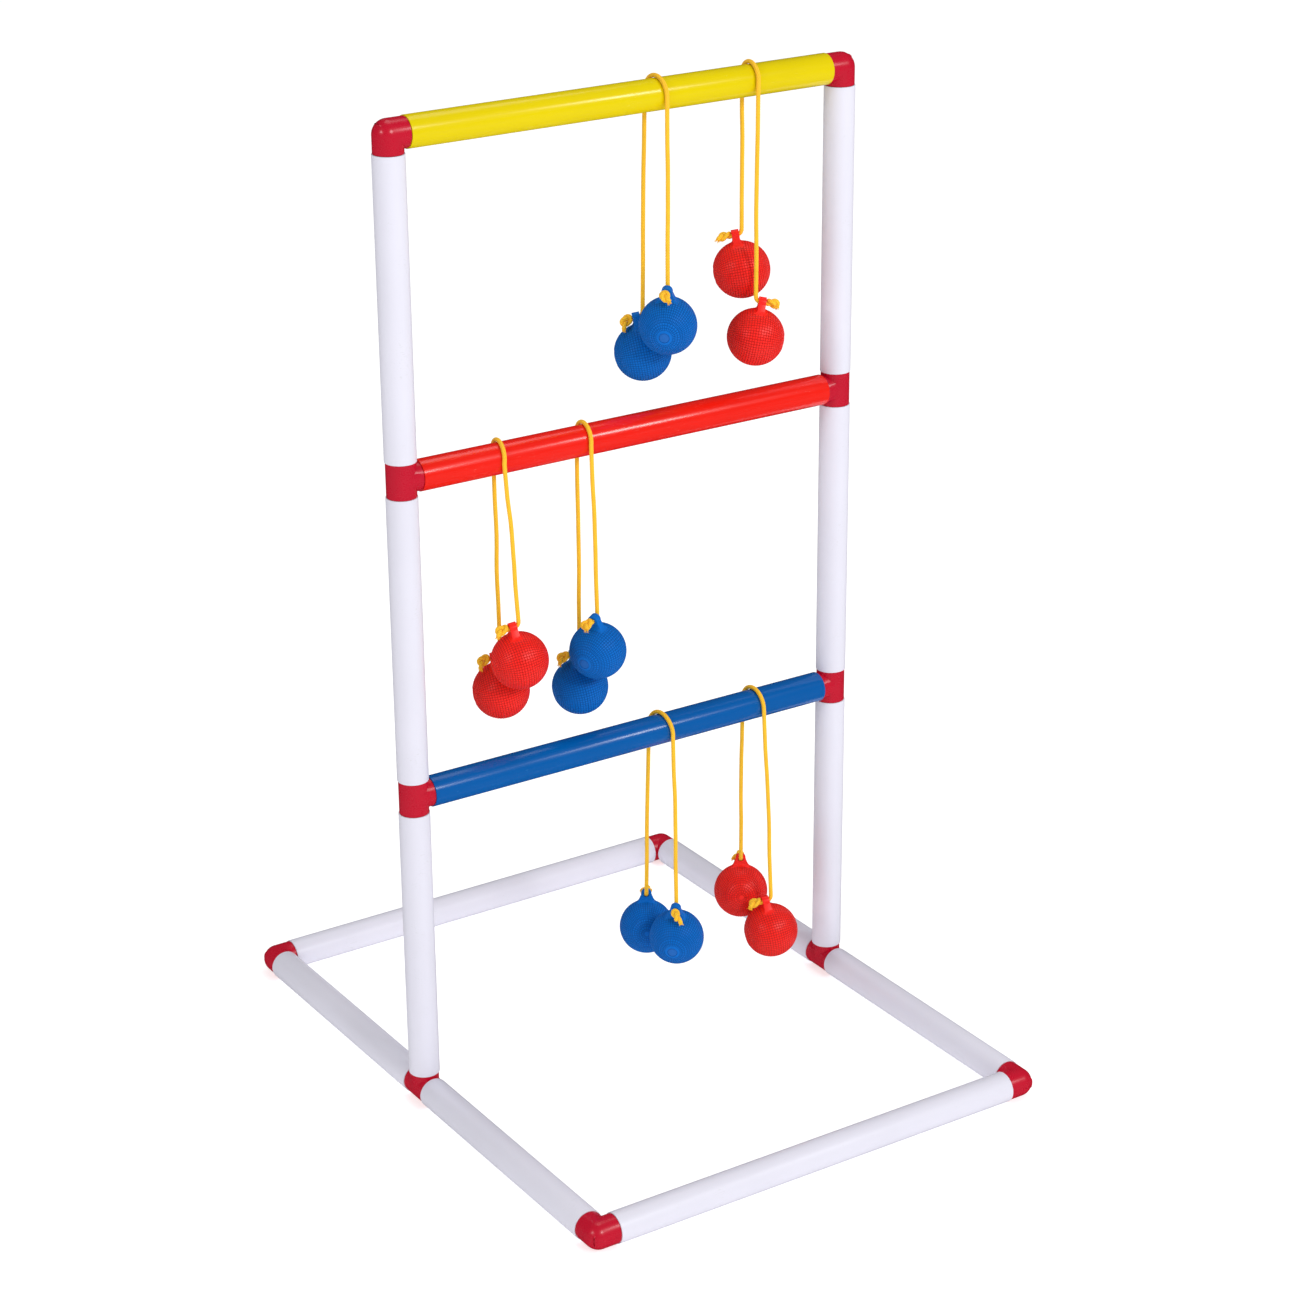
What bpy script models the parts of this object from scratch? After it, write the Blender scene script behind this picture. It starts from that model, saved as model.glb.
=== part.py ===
"""Ladder toss set: a push-fit tube stand with three rungs, and six bolas hung over the rungs.

Metres, +Z up. X runs along the rungs, Y from front to back, and the stand rests on Z = 0.
"""

import math

import bmesh
import bpy
from mathutils import Euler, Matrix, Vector

# Stand
POST_SPACING = 0.512  # between the axes of the two uprights
BASE_HALF_DEPTH = 0.335  # from the uprights to the axis of each end bar
FIRST_RUNG = 0.330  # bottom rung above the base, axis to axis
RUNG_SPACING = 0.333  # rung to rung, axis to axis

# Tube
TUBE_RADIUS = 0.0158
TUBE_WALL = 0.0016
TUBE_SIDES = 20

# Push-fit connectors
CONNECTOR_STEP = 0.0008  # how much smaller in radius a connector's body is than the tubes
CONNECTOR_WALL = 0.0020
CONNECTOR_SIDES = 12
COLLAR = 0.0017  # from the side of one tube to the end of the next
SPIGOT_LENGTH = 0.0220  # the part inside a tube
SPIGOT_CHAMFER = 0.0010
BRANCH_STEP = 0.0003  # how much smaller a tee's branch is than its run
CORNER_STEPS = 3  # facets round an elbow's outer corner

# Bolas
BALL_RADIUS = 0.02875
BALL_SEGMENTS = 16
BALL_RINGS = 10
LUG_THICKNESS = 0.0075
LUG_HOLE_HEIGHT = 0.0075  # the hole's axis above the ball's top
LUG_TIP_RADIUS = 0.0055
LUG_HALF_WIDTH = 0.0100  # where the lug grows out of the ball
LUG_ROOT = 0.0040  # how deep the lug's foot lies under the ball's top
LUG_ARC_STEPS = 6
HOLE_CLEARANCE = 0.0006
HOLE_SIDES = 12
CORD_RADIUS = 0.0021
CORD_BEND = 0.0050  # bend into the lug's hole
CORD_STEP = 0.0126  # spacing of the points down a leg
WRAP_STEPS = 12  # facets of the cord over a rung
KNOT_RADIUS = 0.0046
KNOT_SEGMENTS = 8
KNOT_RINGS = 5

# Fits
FACE_GAP = 0.0003  # between faces that butt
SLIP_GAP = 0.0003  # between a spigot and the tube round it
WRAP_GAP = 0.0004  # between a cord and the rung under it
BALL_GAP = 0.0008  # between the two balls of a bola where they rest on each other
CORD_GAP = 0.0007  # between the end faces of two stretches of a cord, which aren't quite parallel

MERGE = 0.00001

# Where each bola hangs. place is its middle along the rung, from the stand's middle. Each leg has its
# cord's place on the rung and its ball's place, both along the rung from the bola's middle, the ball's
# drop under the rung's axis, the way its knot faces, and the bow of its cord at four points on the way
# down, along the rung.
BOLAS = [
    {
        "name": "top_blue_bola", "rung": 2, "colour": "blue", "place": 0.0370,
        "front": {"top": 0.0010, "ball": -0.0020, "drop": 0.2246, "knot": 229,
                  "bow": (0.0000, 0.0006, 0.0005, 0.0000)},
        "back": {"top": -0.0010, "ball": -0.0030, "drop": 0.2626, "knot": 152,
                 "bow": (0.0000, -0.0005, -0.0004, 0.0000)},
    },
    {
        "name": "top_red_bola", "rung": 2, "colour": "red", "place": 0.1473,
        "front": {"top": -0.0030, "ball": -0.0045, "drop": 0.2555, "knot": 327,
                  "bow": (0.0000, -0.0005, -0.0008, 0.0000)},
        "back": {"top": 0.0030, "ball": 0.0033, "drop": 0.1954, "knot": 150,
                 "bow": (0.0000, 0.0006, 0.0003, 0.0000)},
    },
    {
        "name": "middle_red_bola", "rung": 1, "colour": "red", "place": -0.1480,
        "front": {"top": -0.0045, "ball": 0.0071, "drop": 0.2078, "knot": 165,
                  "bow": (0.0000, 0.0014, 0.0009, 0.0000)},
        "back": {"top": 0.0045, "ball": 0.0063, "drop": 0.2527, "knot": 155,
                 "bow": (0.0000, 0.0007, -0.0006, 0.0000)},
    },
    {
        "name": "middle_blue_bola", "rung": 1, "colour": "blue", "place": -0.0505,
        "front": {"top": -0.0030, "ball": 0.0013, "drop": 0.2185, "knot": 208,
                  "bow": (0.0000, 0.0008, 0.0006, 0.0000)},
        "back": {"top": 0.0030, "ball": 0.0020, "drop": 0.2706, "knot": 162,
                 "bow": (0.0000, 0.0005, 0.0008, 0.0000)},
    },
    {
        "name": "bottom_blue_bola", "rung": 0, "colour": "blue", "place": 0.0380,
        "front": {"top": 0.0030, "ball": -0.0004, "drop": 0.2305, "knot": 227,
                  "bow": (0.0000, 0.0010, 0.0007, 0.0000)},
        "back": {"top": -0.0030, "ball": -0.0013, "drop": 0.2424, "knot": 57,
                 "bow": (0.0000, -0.0004, -0.0006, 0.0000)},
    },
    {
        "name": "bottom_red_bola", "rung": 0, "colour": "red", "place": 0.1550,
        "front": {"top": 0.0010, "ball": 0.0073, "drop": 0.2601, "knot": 160,
                  "bow": (0.0000, 0.0010, 0.0012, 0.0000)},
        "back": {"top": -0.0010, "ball": 0.0026, "drop": 0.2320, "knot": 57,
                 "bow": (0.0000, -0.0007, -0.0008, 0.0000)},
    },
]
RUNG_NAMES = ["bottom", "middle", "top"]
RUNG_COLOURS = ["blue", "red", "yellow"]

# Worked out from the sizes above
FLAT = math.cos(math.pi / TUBE_SIDES)  # a facet's distance from the axis, as a share of the radius
CONNECTOR_RADIUS = TUBE_RADIUS - CONNECTOR_STEP
SHOULDER = TUBE_RADIUS + COLLAR  # from a connector's centre to the face that a tube butts against
SPIGOT_RADIUS = (TUBE_RADIUS - TUBE_WALL) * FLAT - SLIP_GAP
BORE_RADIUS = SPIGOT_RADIUS - CONNECTOR_WALL
SPIGOT_END = SHOULDER + SPIGOT_LENGTH
BASE_AXIS = TUBE_RADIUS * FLAT  # the base's axes above the ground
WRAP_RADIUS = TUBE_RADIUS + WRAP_GAP + CORD_RADIUS
LUG_HOLE = BALL_RADIUS + LUG_HOLE_HEIGHT  # the hole's axis from the ball's centre
LUG_SIDE = LUG_THICKNESS / 2 + CORD_RADIUS + HOLE_CLEARANCE  # the hanging cord from the lug's middle
LUG_LEAN = math.atan(LUG_SIDE / LUG_HOLE)  # brings the ball's centre under its cord
KNOT_PLACE = LUG_THICKNESS / 2 + FACE_GAP + KNOT_RADIUS  # from the lug's middle

FRONT, BACK = -1, 1


def clear_scene():
    for obj in list(bpy.data.objects):
        bpy.data.objects.remove(obj, do_unlink=True)


def new_collection(name):
    collection = bpy.data.collections.new(name)
    bpy.context.scene.collection.children.link(collection)
    return collection


def new_material(name, colour, roughness):
    material = bpy.data.materials.new(name)
    material.use_nodes = True
    shader = material.node_tree.nodes["Principled BSDF"]
    shader.inputs["Base Color"].default_value = (*colour, 1.0)
    shader.inputs["Roughness"].default_value = roughness
    shader.inputs["Metallic"].default_value = 0.0
    material.diffuse_color = (*colour, 1.0)
    return material


def new_object(name, data, collection, parent=None):
    obj = bpy.data.objects.new(name, data)
    collection.objects.link(obj)
    obj.parent = parent
    return obj


def new_empty(name, place, collection):
    empty = new_object(name, None, collection)
    empty.location = place
    bpy.context.view_layer.update()
    return empty


def give_material(obj, material):
    """The object's own slot holds the material, so that objects may share a mesh."""
    if not obj.data.materials:
        obj.data.materials.append(None)
    obj.material_slots[0].link = "OBJECT"
    obj.material_slots[0].material = material


def finish_mesh(mesh):
    """Welds a mesh's caps and seams, and shades its round faces smooth."""
    bm = bmesh.new()
    bm.from_mesh(mesh)
    bmesh.ops.remove_doubles(bm, verts=bm.verts, dist=MERGE)
    bmesh.ops.dissolve_degenerate(bm, edges=bm.edges, dist=MERGE)
    bmesh.ops.recalc_face_normals(bm, faces=bm.faces)
    bm.to_mesh(mesh)
    bm.free()
    mesh.shade_smooth()
    mesh.set_sharp_from_angle(angle=math.radians(40))
    return mesh


def bake(obj, name):
    """The mesh that an object's modifiers or curve give, as a mesh of its own."""
    bpy.context.view_layer.update()
    evaluated = obj.evaluated_get(bpy.context.evaluated_depsgraph_get())
    mesh = finish_mesh(bpy.data.meshes.new_from_object(evaluated))
    mesh.name = name
    return mesh


def combine(name, body, steps):
    """body joined with or cut by each (operation, object) in turn, as one mesh at body's place."""
    for operation, tool in steps:
        modifier = body.modifiers.new(operation.title(), "BOOLEAN")
        modifier.operation = operation
        modifier.solver = "EXACT"
        modifier.object = tool
    mesh = bake(body, name)
    for obj in [body] + [tool for _, tool in steps]:
        bpy.data.objects.remove(obj, do_unlink=True)
    return mesh


def as_tool(obj):
    obj.hide_render = True
    obj.display_type = "WIRE"
    return obj


def turned(name, profile, sides, collection, closed=False):
    """A profile of (radius, height) points, outer side from top to bottom, turned about Z."""
    mesh = bpy.data.meshes.new(name)
    count = len(profile)
    edges = [(i, i + 1) for i in range(count - 1)]
    if closed:
        edges.append((count - 1, 0))
    mesh.from_pydata([(radius, 0.0, height) for radius, height in profile], edges, [])
    obj = new_object(name, mesh, collection)
    screw = obj.modifiers.new("Screw", "SCREW")
    screw.steps = sides
    screw.render_steps = sides
    screw.use_merge_vertices = True
    screw.merge_threshold = MERGE
    return obj


def turned_to(axis, sides=TUBE_SIDES):
    """The turn that lays a turned piece's Z along axis, with a facet facing each way square to it."""
    half_facet = Matrix.Rotation(math.pi / sides, 4, "Z")
    return Vector(axis).to_track_quat("Z", "Y").to_matrix().to_4x4() @ half_facet


def tube_mesh(name, length, tools):
    inner = TUBE_RADIUS - TUBE_WALL
    half = length / 2
    profile = [(TUBE_RADIUS, half), (TUBE_RADIUS, -half), (inner, -half), (inner, half)]
    obj = turned(name, profile, TUBE_SIDES, tools, closed=True)
    mesh = bake(obj, name)
    bpy.data.objects.remove(obj, do_unlink=True)
    return mesh


def spigot_profile():
    """The upper end of a connector's arm, from its axis out to its shoulder's inner edge."""
    return [
        (0.0, SPIGOT_END),
        (SPIGOT_RADIUS - SPIGOT_CHAMFER, SPIGOT_END),
        (SPIGOT_RADIUS, SPIGOT_END - SPIGOT_CHAMFER),
        (SPIGOT_RADIUS, SHOULDER),
    ]


def tee_mesh(tools):
    """A tee whose run lies along Z and whose branch points along +X, bored right through."""
    upper = spigot_profile() + [(CONNECTOR_RADIUS, SHOULDER)]
    lower = [(radius, -height) for radius, height in reversed(upper)]
    run = turned("run", upper + lower, CONNECTOR_SIDES, tools)
    branch_radius = CONNECTOR_RADIUS - BRANCH_STEP
    arm = spigot_profile() + [(branch_radius, SHOULDER), (branch_radius, 0.0), (0.0, 0.0)]
    branch = as_tool(turned("branch", arm, CONNECTOR_SIDES, tools))
    branch.matrix_world = turned_to((1, 0, 0), CONNECTOR_SIDES)
    reach = SPIGOT_END + SPIGOT_LENGTH
    through = [(0.0, reach), (BORE_RADIUS, reach), (BORE_RADIUS, -reach), (0.0, -reach)]
    run_bore = as_tool(turned("run_bore", through, CONNECTOR_SIDES, tools))
    half_way = [(0.0, reach), (BORE_RADIUS, reach), (BORE_RADIUS, 0.0), (0.0, 0.0)]
    branch_bore = as_tool(turned("branch_bore", half_way, CONNECTOR_SIDES, tools))
    branch_bore.matrix_world = turned_to((1, 0, 0), CONNECTOR_SIDES)
    return combine(
        "tee", run, [("UNION", branch), ("DIFFERENCE", run_bore), ("DIFFERENCE", branch_bore)]
    )


def elbow_ring(radius, reach=None, turn=None):
    """One section of an elbow whose arms point along +X and +Y. reach places it that far along +X, or
    along +Y if negative. turn, in radians, places it at the corner instead, its inner half on the
    mitre and its outer half swung about Z."""
    points = []
    for i in range(CONNECTOR_SIDES):
        angle = 2 * math.pi * i / CONNECTOR_SIDES
        across, up = radius * math.cos(angle), radius * math.sin(angle)
        if reach is not None:
            points.append((reach, across, up) if reach > 0 else (across, -reach, up))
        elif across > 0:
            points.append((across, across, up))
        else:
            points.append((across * math.sin(turn), across * math.cos(turn), up))
    return points


def elbow_mesh():
    """An elbow with a rounded outer corner and a sharp inner one, lofted from ring to ring."""
    chamfered = SPIGOT_END - SPIGOT_CHAMFER
    arm = [
        elbow_ring(SPIGOT_RADIUS - SPIGOT_CHAMFER, SPIGOT_END),
        elbow_ring(SPIGOT_RADIUS, chamfered),
        elbow_ring(SPIGOT_RADIUS, SHOULDER),
        elbow_ring(CONNECTOR_RADIUS, SHOULDER),
    ]
    corner = [
        elbow_ring(CONNECTOR_RADIUS, turn=math.pi / 2 * i / CORNER_STEPS)
        for i in range(CORNER_STEPS + 1)
    ]
    other_arm = [
        elbow_ring(CONNECTOR_RADIUS, -SHOULDER),
        elbow_ring(SPIGOT_RADIUS, -SHOULDER),
        elbow_ring(SPIGOT_RADIUS, -chamfered),
        elbow_ring(SPIGOT_RADIUS - SPIGOT_CHAMFER, -SPIGOT_END),
    ]
    bore = [
        elbow_ring(BORE_RADIUS, -SPIGOT_END),
        elbow_ring(BORE_RADIUS, turn=math.pi / 2),
        elbow_ring(BORE_RADIUS, turn=0.0),
        elbow_ring(BORE_RADIUS, SPIGOT_END),
    ]
    bm = bmesh.new()
    rings = [[bm.verts.new(p) for p in ring] for ring in arm + corner + other_arm + bore]
    for ring, after in zip(rings, rings[1:] + rings[:1]):
        for i in range(CONNECTOR_SIDES):
            j = (i + 1) % CONNECTOR_SIDES
            bm.faces.new((ring[i], ring[j], after[j], after[i]))
    mesh = bpy.data.meshes.new("elbow")
    bm.to_mesh(mesh)
    bm.free()
    return finish_mesh(mesh)


def lug_outline():
    """Half way round the lug's tip and down to its foot inside the ball, as (across, up) points."""
    points = []
    for i in range(LUG_ARC_STEPS + 1):
        angle = math.pi * i / LUG_ARC_STEPS
        points.append((LUG_TIP_RADIUS * math.cos(angle), LUG_HOLE + LUG_TIP_RADIUS * math.sin(angle)))
    foot = BALL_RADIUS - LUG_ROOT
    return points + [(-LUG_HALF_WIDTH, foot), (LUG_HALF_WIDTH, foot)]


def plate(name, outline, thickness, tools):
    """A flat outline in the YZ plane, given a thickness along X."""
    curve = bpy.data.curves.new(name, "CURVE")
    curve.dimensions = "2D"
    curve.fill_mode = "BOTH"
    curve.extrude = thickness / 2
    spline = curve.splines.new("POLY")
    spline.points.add(len(outline) - 1)
    for point, (across, up) in zip(spline.points, outline):
        point.co = (across, up, 0.0, 1.0)
    spline.use_cyclic_u = True
    flat = new_object(name, curve, tools)
    mesh = bake(flat, name)
    bpy.data.objects.remove(flat, do_unlink=True)
    mesh.transform(Matrix(((0, 0, 1, 0), (1, 0, 0, 0), (0, 1, 0, 0), (0, 0, 0, 1))))
    return new_object(name, mesh, tools)


def ball_mesh(colour, tools):
    """A ball with a drilled lug on top, the hole's axis along X."""
    mesh = bpy.data.meshes.new("ball")
    bm = bmesh.new()
    bmesh.ops.create_uvsphere(
        bm, u_segments=BALL_SEGMENTS, v_segments=BALL_RINGS, radius=BALL_RADIUS
    )
    bm.to_mesh(mesh)
    bm.free()
    ball = new_object("ball", mesh, tools)
    lug = as_tool(plate("lug", lug_outline(), LUG_THICKNESS, tools))
    hole_radius = CORD_RADIUS + HOLE_CLEARANCE
    pin = [(0.0, LUG_THICKNESS), (hole_radius, LUG_THICKNESS), (hole_radius, -LUG_THICKNESS),
           (0.0, -LUG_THICKNESS)]
    hole = as_tool(turned("hole", pin, HOLE_SIDES, tools))
    hole.matrix_world = Matrix.Translation((0, 0, LUG_HOLE)) @ turned_to((1, 0, 0), HOLE_SIDES)
    return combine(f"{colour}_ball", ball, [("UNION", lug), ("DIFFERENCE", hole)])


def push_out(bola):
    """How far each ball is pushed out of line with its side of the rung by the other ball."""
    front, back = bola["front"], bola["back"]
    apart = math.hypot(front["ball"] - back["ball"], front["drop"] - back["drop"])
    reach = 2 * BALL_RADIUS + BALL_GAP
    if apart >= reach:
        return 0.0
    return max(0.0, math.sqrt(reach**2 - apart**2) / 2 - WRAP_RADIUS)


def ball_place(side, leg, out):
    """A ball's centre from the middle of its bola, on the rung's axis."""
    return Vector((leg["ball"], side * (WRAP_RADIUS + out), -leg["drop"]))


def ball_turn(leg):
    return Euler((0.0, LUG_LEAN, math.radians(leg["knot"])))


def cord_corner(side, leg, out):
    """Where the hanging cord's line meets the axis of the lug's hole."""
    along = Vector((-LUG_SIDE, 0.0, LUG_HOLE))
    return ball_place(side, leg, out) + ball_turn(leg).to_matrix() @ along


def leaving_angle(side, leg, out):
    """How far above the rung's axis the cord leaves the rung, round it."""
    end = cord_corner(side, leg, out)
    outward = side * end.y
    return math.atan2(end.z, outward) + math.acos(WRAP_RADIUS / math.hypot(outward, end.z))


def on_rung(side, leg_place, angle):
    return Vector((leg_place, side * WRAP_RADIUS * math.cos(angle), WRAP_RADIUS * math.sin(angle)))


def hanging_route(side, leg, out):
    """A smooth curve's points from the rung down to the bend above the ball."""
    top = on_rung(side, leg["top"], leaving_angle(side, leg, out))
    corner = cord_corner(side, leg, out)
    down = (corner - top).normalized()
    top += down * CORD_GAP
    bottom = corner - down * CORD_BEND
    count = math.ceil((bottom - top).length / CORD_STEP)
    bow = (0.0, *leg["bow"], 0.0)
    points = []
    for i in range(count + 1):
        share = i / count
        place = share * (len(bow) - 1)
        at = min(int(place), len(bow) - 2)
        blend = (1 - math.cos(math.pi * (place - at))) / 2
        sideways = bow[at] + (bow[at + 1] - bow[at]) * blend
        points.append(top + (bottom - top) * share + Vector((sideways, 0.0, 0.0)))
    return points


def cord_route(side, leg, out):
    """A leg's whole route: down to the ball, round into the lug's hole, and out to the knot."""
    points = hanging_route(side, leg, out)
    corner = cord_corner(side, leg, out)
    down = (corner - points[0]).normalized()
    through = ball_turn(leg).to_matrix() @ Vector((1.0, 0.0, 0.0))
    start, end = corner - down * CORD_BEND, corner + through * CORD_BEND
    for share in (0.25, 0.5, 0.75, 1.0):
        points.append(start.lerp(corner, share).lerp(corner.lerp(end, share), share))
    knot = corner + through * (LUG_SIDE + KNOT_PLACE)
    points.append(end.lerp(knot, 0.5))
    points.append(knot)
    return points


def wrap_route(bola):
    """Over the rung, from where the front leg leaves it to where the back one does."""
    front, back, out = bola["front"], bola["back"], push_out(bola)
    first, last = leaving_angle(FRONT, front, out), leaving_angle(BACK, back, out)
    sweep = math.pi - first - last
    points = []
    for i in range(WRAP_STEPS + 1):
        share = i / WRAP_STEPS
        along = front["top"] + (back["top"] - front["top"]) * share
        points.append(on_rung(FRONT, along, first + sweep * share))
    return points


def cord_curve(name, points, collection):
    curve = bpy.data.curves.new(name, "CURVE")
    curve.dimensions = "3D"
    curve.bevel_depth = CORD_RADIUS
    curve.bevel_resolution = 2
    curve.use_fill_caps = True
    spline = curve.splines.new("POLY")
    spline.points.add(len(points) - 1)
    for point, place in zip(spline.points, points):
        point.co = (*place, 1.0)
    return new_object(name, curve, collection)


def leg_mesh(name, side, leg, out, tools):
    """A hanging cord with the stopper knot on its end, as one solid."""
    route = cord_route(side, leg, out)
    cord = cord_curve(name, route, tools)
    mesh = bake(cord, name)
    bpy.data.objects.remove(cord, do_unlink=True)
    knot_mesh = bpy.data.meshes.new("knot")
    bm = bmesh.new()
    bmesh.ops.create_uvsphere(
        bm, u_segments=KNOT_SEGMENTS, v_segments=KNOT_RINGS, radius=KNOT_RADIUS
    )
    bm.to_mesh(knot_mesh)
    bm.free()
    knot = as_tool(new_object("knot", knot_mesh, tools))
    knot.location = route[-1]
    return combine(name, new_object(name, mesh, tools), [("UNION", knot)])


def add_piece(name, mesh, material, collection, parent, place, turn=None):
    obj = new_object(name, mesh, collection, parent)
    obj.matrix_basis = Matrix.Translation(place) @ (turn or Matrix.Identity(4))
    give_material(obj, material)
    return obj


def add_tube(name, start, end, material, parts, tools, stand):
    """A tube between two connectors, from shoulder to shoulder. start and end are their centres."""
    start, end = Vector(start), Vector(end)
    length = (end - start).length - 2 * (SHOULDER + FACE_GAP)
    mesh = tube_mesh(name, length, tools)
    add_piece(name, mesh, material, parts, stand, (start + end) / 2, turned_to(end - start))


def basis(x_axis, y_axis):
    """The turn that takes X and Y to these axes. A tee's branch is on X and its run on Z, and an
    elbow's arms are on X and Y."""
    x_axis, y_axis = Vector(x_axis), Vector(y_axis)
    return Matrix((x_axis, y_axis, x_axis.cross(y_axis))).transposed().to_4x4()


def add_uprights(parts, tools, stand, materials, tee, elbow):
    """On each side a base tee, three post tubes, two rung tees and the top elbow."""
    for side_name, side in (("left", -1), ("right", 1)):
        x = side * POST_SPACING / 2
        inward = (-side, 0, 0)
        foot = (x, 0.0, 0.0)
        add_piece(f"base_tee_{side_name}", tee, materials["connector"], parts, stand, foot,
                  basis((0, 0, 1), (-1, 0, 0)))
        below = foot
        for level, rung_name in enumerate(RUNG_NAMES):
            joint = (x, 0.0, FIRST_RUNG + level * RUNG_SPACING)
            add_tube(f"post_{rung_name}_{side_name}", below, joint, materials["white"],
                     parts, tools, stand)
            if rung_name == "top":
                add_piece(f"top_elbow_{side_name}", elbow, materials["connector"], parts, stand,
                          joint, basis(inward, (0, 0, -1)))
            else:
                add_piece(f"{rung_name}_tee_{side_name}", tee, materials["connector"], parts,
                          stand, joint, basis(inward, (0, -side, 0)))
            below = joint


def add_rungs(parts, tools, stand, materials):
    half = POST_SPACING / 2
    for level, (rung_name, colour) in enumerate(zip(RUNG_NAMES, RUNG_COLOURS)):
        z = FIRST_RUNG + level * RUNG_SPACING
        add_tube(f"{rung_name}_rung", (-half, 0, z), (half, 0, z), materials[f"{colour}_tube"],
                 parts, tools, stand)


def add_base(parts, tools, stand, materials, elbow):
    """Four corner elbows, four side rails that meet at the base tees, and two end bars."""
    half = POST_SPACING / 2
    for end_name, end in (("front", FRONT), ("back", BACK)):
        y = end * BASE_HALF_DEPTH
        add_tube(f"base_bar_{end_name}", (-half, y, 0), (half, y, 0), materials["white"],
                 parts, tools, stand)
        for side_name, side in (("left", -1), ("right", 1)):
            corner = (side * half, y, 0)
            add_piece(f"base_corner_{end_name}_{side_name}", elbow, materials["connector"], parts,
                      stand, corner, basis((-side, 0, 0), (0, -end, 0)))
            add_tube(f"base_rail_{end_name}_{side_name}", (side * half, 0, 0), corner,
                     materials["white"], parts, tools, stand)


def add_bola(bola, parts, tools, materials, ball):
    """A cord over its rung in three solids, one over the rung and one down each side, and two balls.

    The empty that carries them is on the rung's axis, which is the axis of every joint of the bola."""
    name = bola["name"]
    height = BASE_AXIS + FIRST_RUNG + bola["rung"] * RUNG_SPACING
    middle = new_empty(name, (bola["place"], 0.0, height), parts)
    out = push_out(bola)
    wrap = cord_curve(f"{name}_cord_over_rung", wrap_route(bola), parts)
    wrap.parent = middle
    wrap.data.materials.append(materials["cord"])
    for side_name, side in (("front", FRONT), ("back", BACK)):
        leg = bola[side_name]
        cord_name = f"{name}_{side_name}_cord"
        cord = leg_mesh(cord_name, side, leg, out, tools)
        add_piece(cord_name, cord, materials["cord"], parts, middle, (0, 0, 0))
        add_piece(f"{name}_{side_name}_ball", ball, materials[f"{bola['colour']}_ball"], parts,
                  middle, ball_place(side, leg, out), ball_turn(leg).to_matrix().to_4x4())


def build():
    clear_scene()
    parts = new_collection("ladder_toss_set")
    tools = new_collection("cutters")
    materials = {
        "white": new_material("white_tube", (0.86, 0.86, 0.92), 0.35),
        "yellow_tube": new_material("yellow_tube", (0.85, 0.68, 0.0), 0.22),
        "red_tube": new_material("red_tube", (0.84, 0.02, 0.01), 0.22),
        "blue_tube": new_material("blue_tube", (0.0, 0.10, 0.42), 0.22),
        "connector": new_material("crimson_plastic", (0.62, 0.005, 0.03), 0.3),
        "red_ball": new_material("red_vinyl", (0.86, 0.03, 0.02), 0.5),
        "blue_ball": new_material("blue_vinyl", (0.0, 0.15, 0.60), 0.5),
        "cord": new_material("orange_cord", (1.0, 0.50, 0.02), 0.8),
    }
    stand = new_empty("stand", (0.0, 0.0, BASE_AXIS), parts)
    tee, elbow = tee_mesh(tools), elbow_mesh()
    add_uprights(parts, tools, stand, materials, tee, elbow)
    add_rungs(parts, tools, stand, materials)
    add_base(parts, tools, stand, materials, elbow)
    balls = {colour: ball_mesh(colour, tools) for colour in ("red", "blue")}
    for bola in BOLAS:
        add_bola(bola, parts, tools, materials, balls[bola["colour"]])
    bpy.context.view_layer.update()


build()
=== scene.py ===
import math

import bpy
import numpy as np
from mathutils import Euler, Matrix, Vector


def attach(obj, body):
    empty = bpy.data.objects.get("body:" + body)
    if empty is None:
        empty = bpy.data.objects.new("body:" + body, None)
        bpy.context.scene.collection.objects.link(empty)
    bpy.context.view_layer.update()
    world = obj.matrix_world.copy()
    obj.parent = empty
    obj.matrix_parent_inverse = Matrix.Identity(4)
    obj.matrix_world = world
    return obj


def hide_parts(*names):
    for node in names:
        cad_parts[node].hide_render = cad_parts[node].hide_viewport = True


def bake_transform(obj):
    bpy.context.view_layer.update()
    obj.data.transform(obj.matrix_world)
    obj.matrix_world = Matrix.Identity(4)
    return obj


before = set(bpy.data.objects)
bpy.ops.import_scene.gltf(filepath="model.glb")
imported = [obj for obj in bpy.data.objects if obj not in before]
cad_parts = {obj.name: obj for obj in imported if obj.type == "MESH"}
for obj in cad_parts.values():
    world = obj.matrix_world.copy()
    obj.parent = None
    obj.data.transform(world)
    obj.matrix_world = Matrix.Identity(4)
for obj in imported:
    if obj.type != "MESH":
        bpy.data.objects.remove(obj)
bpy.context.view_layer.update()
scene = bpy.context.scene

# The camera stands off the left front corner, above the top rung, and looks down on the set
view = {
    "place": (-1.6025, -2.5112, 1.6707),
    "turn": (67.5956, 0.4216, -33.1261),  # degrees
    "lens": 87.21,
    "sensor": 36.0,
}


def setCamera():
    data = bpy.data.cameras.new("mainCamera")
    data.lens = view["lens"]
    data.sensor_width = view["sensor"]
    data.clip_end = 60.0
    camera = bpy.data.objects.new("mainCamera", data)
    scene.collection.objects.link(camera)
    camera.location = view["place"]
    camera.rotation_euler = [math.radians(angle) for angle in view["turn"]]
    scene.camera = camera
    scene.view_settings.view_transform = "Standard"


setCamera()
print("camera set")

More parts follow.
